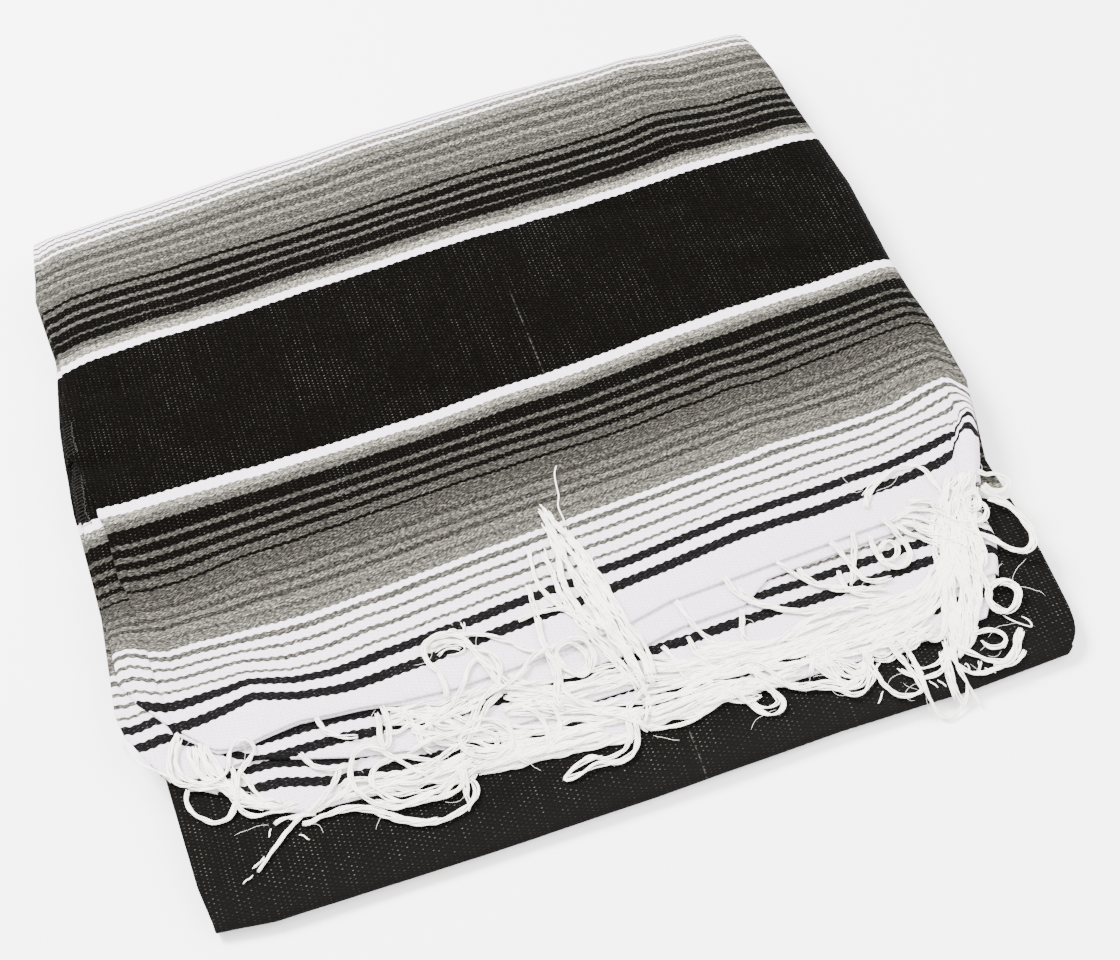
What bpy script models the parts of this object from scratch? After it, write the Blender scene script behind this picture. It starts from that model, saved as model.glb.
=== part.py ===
"""A folded Mexican serape: one striped blanket, folded in three across and in four along.

The origin is on the surface it lies on, under the middle of the stack. +X runs along the fringed
edges, +Y to the far fold, +Z up. The sizes below are in millimetres.

Every stretch of cloth is a slice of one stack. A place in the stack is given by x, a row that runs
from the far fold to the front fold, and the depth below the stack's outer surface.
"""
import math

import bmesh
import bpy

MM = 0.001

# Cloth
CLOTH = 1.8          # thickness of one ply
AIR = 0.45           # air between two plies
PLY = CLOTH + AIR    # from one ply to the next
HOLD = 4             # stretches that show at the front, above the black band

# Folds
FAR_REACH = 17.5     # how far the far fold reaches past the row where the top starts to turn down
FRONT_REACH = 22.5   # how far the front fold reaches past the row where the black band turns down
FOLD_STEPS = 7       # faces round half a turn
TOP_LIP = 5.2        # radius of the soft fold at the top panel's right side
UNDER_LIP = 3.8      # the same at the right side of the third panel
SECOND_LIP = 2.0     # and at the left side of the second panel
LIP_STEPS = 3

# Height of the stack's top along y, at its middle: (y, height)
CROWN = ((262.0, 36.0), (150.0, 35.0), (50.0, 33.8), (-60.0, 33.2), (-120.0, 32.8),
         (-160.0, 31.8), (-200.0, 28.8), (-241.0, 24.2), (-300.0, 18.0))

# Large folds in the cloth: a soft ridge, or a trough where the rise is negative, between two points
# (x start, y start, x end, y end, rise, half width)
RIDGES = (
    (-300.0, 256.0, 300.0, 250.0, 4.0, 42.0),
    (158.0, 285.0, 172.0, 135.0, 5.0, 24.0),
    (128.0, 0.0, 142.0, -112.0, 3.0, 15.0),
    (-186.0, -18.0, -172.0, -128.0, 2.8, 20.0),
    (206.0, -52.0, 236.0, -104.0, -2.6, 14.0),
    (-228.0, -88.0, -214.0, -190.0, -4.2, 18.0),
    (-300.0, 62.0, -222.0, 50.0, -2.0, 10.0),
    (-60.0, 290.0, -66.0, 190.0, -2.0, 26.0),
    (60.0, -196.0, 30.0, -260.0, 1.6, 18.0),
)
SIDE_ROUND = 16.0    # the top falls off over this width at both sides
SIDE_FALL = 2.4

# Rows where the two folds across the whole width start: (x, y)
FAR_ROW = ((-250.0, 248.5), (-150.0, 251.0), (-60.0, 256.5), (55.0, 259.5), (110.0, 258.0),
           (150.0, 255.0), (250.0, 254.5))
FRONT_ROW = ((-255.0, -245.0), (-222.0, -250.0), (-100.0, -251.0), (0.0, -250.5), (60.0, -249.0),
             (110.0, -247.5), (190.0, -248.5), (255.0, -245.5))

# Front edges of the stretches: (x, y)
EDGE_TOP = ((-246.0, -148.0), (-232.0, -166.0), (-204.0, -172.0), (-58.0, -177.0), (13.0, -173.0),
            (45.0, -166.0), (112.0, -163.0), (224.0, -158.0), (250.0, -150.0))
EDGE_SECOND_LEAD = 6.5
EDGE_THIRD = ((-272.0, -168.0), (-258.0, -175.0), (-232.0, -183.0), (-181.0, -199.0), (57.0, -210.0),
              (189.0, -213.0), (250.0, -209.0))
EDGE_FOURTH = ((-262.0, -186.0), (-211.0, -204.0), (-148.0, -221.0), (-95.0, -228.0), (-22.0, -233.0),
               (184.0, -236.0), (250.0, -231.0))

# Side edges: (y, x)
LEFT_TOP = ((268.0, -255.0), (207.0, -264.5), (139.0, -258.5), (90.0, -267.0), (27.0, -268.0), (-17.0, -263.5),
            (-63.0, -251.0), (-103.0, -250.0), (-132.0, -248.0), (-149.0, -245.0), (-180.0, -238.0))
LEFT_SECOND = ((20.0, -268.0), (-39.0, -271.0), (-105.0, -272.0), (-122.0, -264.0), (-143.0, -250.0),
               (-180.0, -241.0))
LEFT_THIRD = ((-60.0, -272.0), (-130.0, -277.5), (-146.0, -275.0), (-160.0, -268.0), (-175.0, -257.0),
              (-210.0, -248.0))
LEFT_FOURTH = ((-140.0, -237.0), (-168.0, -255.0), (-240.0, -246.0))
RIGHT_FOURTH = ((-60.0, 243.0), (-156.0, 234.0), (-240.0, 233.0))
LEFT_UNDER = ((268.0, -256.0), (210.0, -265.5), (150.0, -261.5), (94.0, -270.5), (28.0, -274.0),
              (-62.0, -272.5), (-134.0, -272.0), (-164.0, -259.0), (-241.0, -257.0), (-264.0, -254.0))
RIGHT_TOP = ((268.0, 252.0), (225.0, 258.5), (150.0, 258.5), (104.0, 266.5), (34.0, 266.0), (0.0, 268.0),
             (-27.0, 271.0), (-76.0, 272.5), (-100.0, 268.0), (-135.0, 256.5), (-160.0, 249.0))
RIGHT_THIRD = ((-60.0, 250.0), (-130.0, 246.0), (-156.0, 240.0), (-188.0, 243.0), (-215.0, 235.0))
RIGHT_UNDER = ((268.0, 253.5), (225.0, 259.5), (150.0, 260.5), (104.0, 270.0), (34.0, 267.5), (13.0, 271.0),
               (-27.0, 271.0), (-82.0, 270.0), (-133.0, 258.0), (-158.0, 260.0), (-204.0, 262.0),
               (-241.0, 262.0), (-264.0, 259.0))

ORIGIN_SHIFT = (1.705, -0.7, 0.0)   # from the stack's own axes to the middle of the part's outline

# Columns of the stack that every stretch shares, and rows between the far fold and the top edge
COLUMNS = (-226.0, -209.0, -190.0, -166.0, -138.0, -108.0, -76.0, -42.0, -8.0, 26.0, 58.0, 88.0,
           114.0, 138.0, 160.0, 182.0, 205.0, 226.0)
WIDEST = 280.0       # the stack's surface is worked out to this far on both sides
TOP_ROWS = 13
SECOND_START = TOP_ROWS - 6     # rows of the top panel at which the plies under it start
LOWER_START = TOP_ROWS - 4
BAND_START = TOP_ROWS - 1       # and the black strip
UNDERSIDE_ROWS = (0.33, 0.66, 1.0)   # rows of the underside, as shares of the way to the far fold
SIDE_TRIM = 6.0      # the second panel ends this far inside the top panel's soft fold

# Core
LAYERS = 4           # layers that show at its sides
NOTCH = 3.0          # depth of the groove between two layers
LOBE = ((0.1, NOTCH), (0.5, 0.0), (0.9, NOTCH))   # one layer's edge: (share of its height, inset)
SHOULDER = 1.5       # from the last groove in to where the top and the underside start
NOSE_SLACK = 2.6     # inside a fold, its underside stays this much further off the cloth
LAYER_TUCK = (1.4, 0.4, 2.2, 0.8)           # how far each layer sits inside the stack's side
LAYER_SWAY = 0.9                            # how much its edge wanders in and out
LAYER_WAVE = (47.0, 61.0, 39.0, 53.0)       # and how fast, along y
RIGHT_CORE = ((268.0, 248.0), (225.0, 254.5), (150.0, 254.5), (104.0, 262.5), (34.0, 262.0), (0.0, 264.0),
              (-27.0, 266.0), (-76.0, 266.0), (-100.0, 262.0), (-133.0, 254.5), (-158.0, 256.0),
              (-204.0, 260.0), (-241.0, 260.0), (-264.0, 257.0))   # the core's top layer, inside the top panel's soft fold

# Fringe
STRAND = 2.4         # width of a strand
STRAND_THICK = 1.5
STRIP = 2.2          # width of the strip that holds the strands
STRAND_SINK = 0.15   # the strand's top lies this far under its ply's outer face
TIP = 0.6            # a strand's end is this share of its width
STRIP_GAP = 0.35     # between the cloth's edge and the strip
FRONT_ROLL = 20.0    # a strand turns down over the front fold along this radius
MOST_TURN = 95.0     # and ends no further round than this
KNOT_CLEAR = 0.3     # the strip has no section nearer than this to a strand's root
LOCK_BACK = 9.0      # the lock's strip lies this far behind the top panel's edge

# A strand's way: (share of its run along the edge, share of its reach out from it)
SWEEP = ((0.0, 0.55), (0.12, 0.9), (0.5, 1.0), (1.0, 1.03))
LEAN = ((0.12, 0.3), (0.4, 0.62), (0.75, 0.86), (1.0, 1.0))
HANG = ((0.1, 0.3), (0.35, 0.6), (0.55, 0.72), (0.72, 0.82), (0.86, 0.91), (1.0, 1.0))

# Groups of strands: first and last root x, how many, the y that the first and the last reach, the x
# where the first and the last end, and their way
FRINGE_TOP = (
    (-218.0, -136.0, 6, -207.0, -183.0, -150.0, -122.0, SWEEP),
    (-108.0, 10.0, 8, -219.0, -186.0, -32.0, 22.0, SWEEP),
    (36.0, 130.0, 9, -214.0, -175.0, 116.0, 138.0, SWEEP),
    (150.0, 238.0, 12, -246.0, -228.0, 172.0, 248.0, LEAN),
)
FRINGE_SECOND = (
    (-214.0, -152.0, 6, -218.0, -194.0, -172.0, -140.0, SWEEP),
    (-128.0, -32.0, 7, -229.0, -199.0, -60.0, -22.0, SWEEP),
    (-10.0, 90.0, 8, -229.0, -187.0, 78.0, 98.0, SWEEP),
    (108.0, 180.0, 7, -216.0, -180.0, 168.0, 188.0, SWEEP),
    (196.0, 228.0, 6, -272.0, -262.0, 204.0, 238.0, HANG),
)
FRINGE_THIRD = (
    (-220.0, -198.0, 4, -236.0, -230.0, -232.0, -204.0, LEAN),
    (-180.0, -96.0, 6, -232.0, -213.0, -120.0, -86.0, SWEEP),
    (-72.0, 30.0, 6, -238.0, -217.0, 6.0, 38.0, SWEEP),
    (50.0, 140.0, 6, -242.0, -220.0, 122.0, 148.0, SWEEP),
    (160.0, 222.0, 6, -243.0, -222.0, 204.0, 228.0, SWEEP),
)
FRINGE_FOURTH = (
    (-196.0, -110.0, 5, -249.0, -233.0, -140.0, -102.0, SWEEP),
    (-84.0, 60.0, 6, -258.0, -240.5, 10.0, 70.0, SWEEP),
    (84.0, 212.0, 6, -260.0, -241.5, 170.0, 222.0, SWEEP),
)
FRINGE_LOCK = ((-6.0, 22.0, 7, -103.0, -81.0, -26.0, -2.0, LEAN),)

WHITE_YARN = (0.88, 0.87, 0.84)
STRIPED = (0.33, 0.33, 0.32)
BLACK = (0.018, 0.017, 0.016)
FOLDED = (0.22, 0.22, 0.215)


def lookup(table, key):
    """Straight interpolation in a table of pairs, held flat past both ends."""
    pairs = sorted(table)
    if key <= pairs[0][0]:
        return pairs[0][1]
    for (k0, v0), (k1, v1) in zip(pairs, pairs[1:]):
        if key <= k1:
            return v0 + (v1 - v0) * (key - k0) / (k1 - k0)
    return pairs[-1][1]


def smooth(value):
    value = min(1.0, max(0.0, value))
    return value * value * (3.0 - 2.0 * value)


def ridge(x, y, row):
    """Height that one large fold adds at a point."""
    x0, y0, x1, y1, rise, half_width = row
    run_x, run_y = x1 - x0, y1 - y0
    length = math.hypot(run_x, run_y)
    along = ((x - x0) * run_x + (y - y0) * run_y) / length ** 2
    across = ((x - x0) * run_y - (y - y0) * run_x) / length
    return rise * math.exp(-(across / half_width) ** 2) * smooth(along * 3.0) * smooth((1.0 - along) * 3.0)


def height(x, y):
    """Height of the stack's outer surface."""
    left, right = lookup(LEFT_UNDER, y), lookup(RIGHT_UNDER, y)
    side = smooth(1.0 - (x - left) / SIDE_ROUND) + smooth(1.0 - (right - x) / SIDE_ROUND)
    wave = 0.7 * math.sin(x / 46.0 + 0.8) * math.sin(y / 61.0)
    return lookup(CROWN, y) + wave - SIDE_FALL * side + sum(ridge(x, y, row) for row in RIDGES)


def far_line(x):
    return lookup(FAR_ROW, x)


def front_line(x):
    return lookup(FRONT_ROW, x)


def under_far_line(x):
    """Where the underside ends, just short of the far fold's own underside."""
    return far_line(x) - AIR


def edge_top(x):
    return lookup(EDGE_TOP, x)


def edge_second(x):
    return edge_top(x) - EDGE_SECOND_LEAD


def edge_third(x):
    return lookup(EDGE_THIRD, x)


def edge_fourth(x):
    return lookup(EDGE_FOURTH, x)


def under_second(x):
    """A line midway between the second and the third edge."""
    return (edge_second(x) + edge_third(x)) / 2.0


def on_columns(at):
    """The same row, straight from one column to the next, as the faces of every stretch are."""
    knots = (-WIDEST, *COLUMNS, WIDEST)

    def snapped(x, depth):
        for a, b in zip(knots, knots[1:]):
            if x <= b:
                share = (x - a) / (b - a)
                return tuple(p + (q - p) * share for p, q in zip(at(a, depth), at(b, depth)))
        return at(x, depth)
    return snapped


def flat_row(line):
    """A row on the top of the stack. line gives its y at each x."""
    def at(x, depth):
        y = line(x)
        return (x, y, height(x, y) - depth)
    return on_columns(at)


def fold_row(turn, line, reach, way, inner=0.0):
    """A row round a fold. turn is in degrees from the top; way is +1 at the far fold, -1 in front."""
    def at(x, depth):
        half = (height(x, line(x)) - inner) / 2.0
        angle = math.radians(turn)
        y = line(x) + way * (reach - depth) * math.sin(angle)
        return (x, y, half + (half - depth) * math.cos(angle))
    return on_columns(at)


def far_row(turn):
    return fold_row(turn, far_line, FAR_REACH, 1)


def far_y(turn):
    return far_line(0.0) + FAR_REACH * math.sin(math.radians(turn))


def front_row(turn):
    """Rows of the black band, which lies under the four stretches above it."""
    return fold_row(turn, front_line, FRONT_REACH, -1, inner=HOLD * PLY)


def front_y(turn):
    return front_line(0.0) - FRONT_REACH * math.sin(math.radians(turn))


def between(line_a, line_b, share):
    return lambda x: line_a(x) + (line_b(x) - line_a(x)) * share


def top_lines():
    """Lines from the far fold to the top panel's front edge."""
    return [between(far_line, edge_top, step / TOP_ROWS) for step in range(TOP_ROWS + 1)]


def row_y(line):
    """The y at which a row's side edges are looked up."""
    return line(0.0)


def add_object(name, mesh_maker, colour, roughness):
    bm = bmesh.new()
    mesh_maker(bm)
    bmesh.ops.recalc_face_normals(bm, faces=bm.faces)
    mesh = bpy.data.meshes.new(name)
    bm.to_mesh(mesh)
    bm.free()
    mesh.shade_smooth()
    mesh.set_sharp_from_angle(angle=math.radians(50.0))
    material = bpy.data.materials.new(name)
    material.use_nodes = True
    shader = material.node_tree.nodes["Principled BSDF"]
    shader.inputs["Base Color"].default_value = (*colour, 1.0)
    shader.inputs["Roughness"].default_value = roughness
    shader.inputs["Metallic"].default_value = 0.0
    mesh.materials.append(material)
    bpy.context.scene.collection.objects.link(bpy.data.objects.new(name, mesh))


def vert(bm, point):
    """A vertex at a point of the stack, in metres from the part's origin."""
    return bm.verts.new([(value + shift) * MM for value, shift in zip(point, ORIGIN_SHIFT)])


def patch(bm, a, b, c, d):
    """Two triangles that meet along a to c."""
    bm.faces.new((a, b, c))
    bm.faces.new((a, c, d))


def wall(bm, outer, inner):
    """A closed wall between two grids of points with the same rows and columns."""
    upper = [[vert(bm, point) for point in row] for row in outer]
    lower = [[vert(bm, point) for point in row] for row in inner]
    last_row, last_col = len(outer) - 1, len(outer[0]) - 1
    for grid in (upper, lower):
        for r in range(last_row):
            for c in range(last_col):
                patch(bm, grid[r][c], grid[r][c + 1], grid[r + 1][c + 1], grid[r + 1][c])
    for c in range(last_col):
        for r in (0, last_row):
            patch(bm, upper[r][c], upper[r][c + 1], lower[r][c + 1], lower[r][c])
    for r in range(last_row):
        for c in (0, last_col):
            patch(bm, upper[r][c], upper[r + 1][c], lower[r + 1][c], lower[r][c])


def bend_steps(radius):
    """A ply's edge bent down by a quarter turn: (outer reach, inner reach, outer depth, inner depth)."""
    if not radius:
        return []
    inside = radius - CLOTH
    bends = [math.radians(90.0 * step / LIP_STEPS) for step in range(1, LIP_STEPS + 1)]
    return [(radius * math.sin(bend), inside * math.sin(bend),
             radius * (1.0 - math.cos(bend)), radius - inside * math.cos(bend)) for bend in bends]


def stations(left, right, left_lip, right_lip):
    """Columns of one row of a ply: (outer x, inner x, depth of outer face, depth of inner face)."""
    flat_left, flat_right = left + left_lip, right - right_lip
    row = [(x, x, 0.0, CLOTH) for x in (flat_left, *COLUMNS, flat_right)]
    for out, inn, deep_out, deep_in in bend_steps(right_lip):
        row.append((flat_right + out, flat_right + inn, deep_out, deep_in))
    for out, inn, deep_out, deep_in in bend_steps(left_lip):
        row.insert(0, (flat_left - out, flat_left - inn, deep_out, deep_in))
    return row


def ply(bm, rows, level, left, right, left_lip=0.0, right_lip=0.0):
    """One stretch of cloth. rows holds (row function, y for its side edges)."""
    outer, inner = [], []
    base = level * PLY
    for at, y in rows:
        columns = stations(lookup(left, y), lookup(right, y), left_lip, right_lip)
        outer.append([at(x_out, base + d_out) for x_out, x_in, d_out, d_in in columns])
        inner.append([at(x_in, base + d_in) for x_out, x_in, d_out, d_in in columns])
    wall(bm, outer, inner)


def with_y(lines):
    return [(flat_row(line), row_y(line)) for line in lines]


def shifted(table, amount):
    return tuple((key, value + amount) for key, value in table)


def top_panel(bm):
    turns = [180.0 - 180.0 * step / FOLD_STEPS for step in range(FOLD_STEPS)]
    rows = [(far_row(turn), far_y(turn)) for turn in turns]
    ply(bm, rows + with_y(top_lines()), 0, LEFT_TOP, RIGHT_TOP, right_lip=TOP_LIP)


def second_panel(bm):
    lines = top_lines()[SECOND_START:] + [edge_second]
    ply(bm, with_y(lines), 1, LEFT_SECOND, shifted(RIGHT_TOP, -SIDE_TRIM), left_lip=SECOND_LIP)


def third_panel(bm):
    lines = top_lines()[LOWER_START:] + [edge_second, under_second, edge_third]
    ply(bm, with_y(lines), 2, LEFT_THIRD, RIGHT_THIRD, right_lip=UNDER_LIP)


def fourth_panel(bm):
    lines = top_lines()[LOWER_START:] + [edge_second, under_second, edge_third, edge_fourth]
    ply(bm, with_y(lines), 3, LEFT_FOURTH, RIGHT_FOURTH)


def bottom_panel(bm):
    """The black middle of the blanket: front strip, front fold and underside."""
    lines = top_lines()[BAND_START:] + [edge_second, under_second, edge_third, edge_fourth]
    rows = [(flat_row_at(line, HOLD * PLY), row_y(line)) for line in lines]
    turns = [180.0 * step / FOLD_STEPS for step in range(FOLD_STEPS + 1)]
    rows += [(front_row(turn), front_y(turn)) for turn in turns]
    for share in UNDERSIDE_ROWS:
        line = between(front_line, under_far_line, share)
        rows.append((on_columns(floor_line(line)), row_y(line)))
    ply(bm, rows, 0, LEFT_UNDER, RIGHT_UNDER)


def core_rows():
    """Sections of the core: (top row, depth of its top, bottom row, depth of its bottom, y)."""
    lines = top_lines()
    fronts = [edge_second, under_second, edge_third, edge_fourth, front_line]
    rows = []
    turns = [180.0 * step / FOLD_STEPS for step in range(FOLD_STEPS // 2, 0, -1)]
    for turn in turns:
        rows.append((far_row(turn), PLY, far_row(180.0 - turn), PLY + NOSE_SLACK, far_y(turn)))
    for index, line in enumerate(lines + fronts):
        depth = PLY if index < LOWER_START else (HOLD + 1) * PLY
        if SECOND_START <= index < LOWER_START:
            depth = 2.0 * PLY
        rows.append((flat_row(line), depth, floor_line(line), PLY, row_y(line)))
    for turn in reversed(turns):
        rows.append((front_row(turn), PLY, front_row(180.0 - turn), PLY + NOSE_SLACK, front_y(turn)))
    return rows


def lobes(y, side):
    """The layered side of one core section, from the bottom up: (x, share of the height)."""
    points = []
    for layer in range(LAYERS):
        table = LEFT_UNDER if side < 0 else RIGHT_UNDER
        if side > 0 and (layer == LAYERS - 1 or y >= far_line(0.0)):
            table = RIGHT_CORE
        sway = LAYER_SWAY * math.sin(y / LAYER_WAVE[layer])
        out = lookup(table, y) - side * (LAYER_TUCK[layer] + sway)
        for share, inset in LOBE:
            points.append((out - side * inset, (layer + share) / LAYERS))
    return points


def folded_core(bm):
    """The hidden plies: one solid whose sides show rounded layers."""
    sections = []
    for top, depth, bottom, lift, y in core_rows():
        left, right = lobes(y, -1), lobes(y, 1)
        outline = left + [(x, 1.0) for x in (left[-1][0] + SHOULDER, *COLUMNS, right[-1][0] - SHOULDER)]
        outline += right[::-1]
        outline += [(x, 0.0) for x in (right[0][0] - SHOULDER, *COLUMNS[::-1], left[0][0] + SHOULDER)]
        section = []
        for x, share in outline:
            high, low = top(x, depth), bottom(x, lift)
            section.append(vert(bm, [a + (b - a) * share for a, b in zip(low, high)]))
        sections.append(section)
    count = len(sections[0])
    for near, far in zip(sections, sections[1:]):
        for c in range(count):
            nxt = (c + 1) % count
            patch(bm, near[c], near[nxt], far[nxt], far[c])
    for section in (sections[0], sections[-1]):
        edge, wide = LAYERS * len(LOBE), len(COLUMNS) + 2
        tops = section[edge:edge + wide]
        bottoms = section[:-wide - 1:-1]
        for c in range(1, wide - 2):
            patch(bm, tops[c], tops[c + 1], bottoms[c + 1], bottoms[c])
        bm.faces.new([*section[:edge], *tops[:2], bottoms[1], bottoms[0]])
        bm.faces.new([*tops[-2:], *section[edge + wide:2 * edge + wide], bottoms[-1], bottoms[-2]])


def floor_line(line):
    return lambda x, depth: (x, line(x), depth)


def flat_row_at(line, extra):
    top = flat_row(line)
    return lambda x, depth: top(x, depth + extra)


def surface_point(x, y, depth):
    """A point of the stack's outer surface moved in by depth, also where it turns down in front."""
    past = front_line(x) - y
    if past <= 0.0:
        return flat_row(lambda _: y)(x, depth)
    turn = min(MOST_TURN, math.degrees(past / FRONT_ROLL))
    return front_row(turn)(x, depth - HOLD * PLY)


def strand_path(strand, line):
    """A strand's way over the surface: out from the edge, and along it to its end."""
    root_x, end_x, end_y, course = strand
    y = line(root_x)
    return [(root_x + (end_x - root_x) * along, y + (end_y - y) * out) for along, out in course]


def band_ring(path, index, level, side):
    """Four corners of a strand's section at one point of its way."""
    before, here = path[max(index - 1, 0)], path[index]
    after = path[min(index + 1, len(path) - 1)]
    step_x, step_y = after[0] - before[0], after[1] - before[1]
    length = math.hypot(step_x, step_y)
    half = -side * STRAND / 2.0 * (TIP if index == len(path) - 1 else 1.0)
    side_x, side_y = step_y / length * half, -step_x / length * half
    high = level * PLY + STRAND_SINK
    low = high + STRAND_THICK
    a = (here[0] + side_x, here[1] + side_y)
    b = (here[0] - side_x, here[1] - side_y)
    return [surface_point(*a, low), surface_point(*b, low), surface_point(*b, high), surface_point(*a, high)]


def strands_of(groups):
    """Each strand's root x, end x, end y and way, from left to right."""
    strands = []
    for root_a, root_b, count, y_a, y_b, end_a, end_b, course in groups:
        for index in range(count):
            share = index / (count - 1)
            strands.append((root_a + (root_b - root_a) * share, end_a + (end_b - end_a) * share,
                            y_a + (y_b - y_a) * share, course))
    return sorted(strands)


def strip_cuts(strands):
    """Where the strip has a section, and the strand that starts in the stretch after it."""
    half = STRAND / 2.0
    cuts = {strands[0][0] - 2.0 * STRAND: None, strands[-1][0] + 2.0 * STRAND: None}
    for knot in COLUMNS:
        clear = all(abs(knot - strand[0]) > half + KNOT_CLEAR for strand in strands)
        if strands[0][0] < knot < strands[-1][0] and clear:
            cuts[knot] = None
    for strand in strands:
        cuts[strand[0] - half] = strand
        cuts[strand[0] + half] = None
    return cuts


def tube(bm, first, second):
    """The four sides between two sections of four corners."""
    for k in range(4):
        patch(bm, first[k], first[(k + 1) % 4], second[(k + 1) % 4], second[k])


def fringe(groups, line, level, side=-1):
    """Strands fused at their roots into one narrow strip that lies along an edge.

    side is -1 where the strands run to the front and +1 where they lie back over the cloth.
    """
    cuts = strip_cuts(strands_of(groups))
    edge = lambda x: flat_row(line)(x, 0.0)[1]
    high = level * PLY + STRAND_SINK
    low = high + STRAND_THICK

    def section(x):
        near = edge(x) + side * STRIP_GAP
        far = near + side * STRIP
        return [(near, low), (far, low), (far, high), (near, high)]

    def build(bm):
        order = sorted(cuts)
        rings = [[vert(bm, surface_point(x, y, depth)) for y, depth in section(x)] for x in order]
        for x, ring, after in zip(order, rings, rings[1:]):
            for k in (0, 2, 3):
                patch(bm, ring[k], ring[(k + 1) % 4], after[(k + 1) % 4], after[k])
            mouth = [ring[1], after[1], after[2], ring[2]]
            if cuts[x]:
                path = strand_path(cuts[x], edge)
                for index in range(len(path)):
                    ends = [vert(bm, point) for point in band_ring(path, index, level, side)]
                    tube(bm, mouth, ends)
                    mouth = ends
            patch(bm, *mouth)
        bm.faces.new(rings[0])
        bm.faces.new(rings[-1])
    return build


def lock_line(x):
    return edge_top(x) + LOCK_BACK


def clear_scene():
    for thing in list(bpy.data.objects):
        bpy.data.objects.remove(thing, do_unlink=True)


def main():
    clear_scene()
    add_object("top_panel", top_panel, STRIPED, 0.95)
    add_object("second_panel", second_panel, STRIPED, 0.95)
    add_object("third_panel", third_panel, STRIPED, 0.95)
    add_object("fourth_panel", fourth_panel, STRIPED, 0.95)
    add_object("bottom_panel", bottom_panel, BLACK, 0.95)
    add_object("folded_core", folded_core, FOLDED, 0.95)
    add_object("fringe_top", fringe(FRINGE_TOP, edge_top, 0), WHITE_YARN, 0.9)
    add_object("fringe_second", fringe(FRINGE_SECOND, edge_second, 1), WHITE_YARN, 0.9)
    add_object("fringe_third", fringe(FRINGE_THIRD, edge_third, 2), WHITE_YARN, 0.9)
    add_object("fringe_fourth", fringe(FRINGE_FOURTH, edge_fourth, 3), WHITE_YARN, 0.9)
    add_object("fringe_lock", fringe(FRINGE_LOCK, lock_line, -1, side=1), WHITE_YARN, 0.9)


main()
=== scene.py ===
"""A folded Mexican serape: striped wool-like cloth, folded in three across and in four along.

Sizes are in millimetres in the stack's own axes, as in the part's source, and are shifted to the
part's origin and turned into metres when a mesh is made. +X runs along the fringed edges, +Y to the
far fold, +Z up. Every stretch of cloth is a slice of one stack: x, a row from the far fold to the
front fold, and the depth below the stack's outer surface.
"""
import functools
import math
import random

import bpy
import numpy as np
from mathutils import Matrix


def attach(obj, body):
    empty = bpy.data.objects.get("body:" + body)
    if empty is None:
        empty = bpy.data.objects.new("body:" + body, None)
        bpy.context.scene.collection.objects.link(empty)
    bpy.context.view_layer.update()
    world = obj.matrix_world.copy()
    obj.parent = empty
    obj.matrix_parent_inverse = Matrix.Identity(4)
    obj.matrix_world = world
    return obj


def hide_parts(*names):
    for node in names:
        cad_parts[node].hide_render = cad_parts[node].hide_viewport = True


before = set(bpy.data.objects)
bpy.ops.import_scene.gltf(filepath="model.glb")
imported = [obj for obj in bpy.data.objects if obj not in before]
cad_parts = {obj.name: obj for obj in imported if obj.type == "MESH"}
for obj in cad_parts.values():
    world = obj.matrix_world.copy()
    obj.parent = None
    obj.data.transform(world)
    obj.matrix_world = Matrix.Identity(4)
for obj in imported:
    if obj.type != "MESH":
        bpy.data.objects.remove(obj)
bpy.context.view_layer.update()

MM = 0.001
ORIGIN_SHIFT = np.array((1.705, -0.7, 0.0))   # from the stack's axes to the part's origin

# ---------------------------------------------------------------- sizes

CLOTH = 1.8          # thickness of the cloth
AIR = 0.45           # between two plies
PLY = CLOTH + AIR
HOLD = 4             # stretches on top of the black band at the front
FAR_REACH = 17.5     # how far the folds bulge
FRONT_REACH = 22.5
TOP_LIP = 5.2        # radius of a rolled side edge
UNDER_LIP = 3.8
SECOND_LIP = 2.0
SIDE_ROUND = 16.0    # the surface falls this much near its sides, over this width
SIDE_FALL = 2.4
SIDE_TRIM = 6.0      # the second stretch ends this far inside the top one's right side
SIDE_X = 256.0       # x at which the ends of a row are looked up

# Height of the outer surface at each y, along the middle of the stack
CROWN = (
    (262, 36), (150, 35), (50, 33.8), (-60, 33.2), (-120, 32.8), (-160, 31.8), (-200, 28.8), (-241, 24.2),
    (-300, 18),
)
CROWN_BLUR = 14.0    # the crown is averaged over this length, so it has no kinks

# Large folds: x start, y start, x end, y end, rise, half width
RIDGES = (
    (-300, 256, 300, 250, 4, 42), (158, 285, 172, 135, 5, 24), (128, 0, 142, -112, 3, 15),
    (-186, -18, -172, -128, 2.8, 20), (206, -52, 236, -104, -2.6, 14), (-228, -88, -214, -190, -4.2, 18),
    (-300, 62, -222, 50, -2, 10), (-60, 290, -66, 190, -2, 26), (60, -196, 30, -260, 1.6, 18),
)
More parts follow.
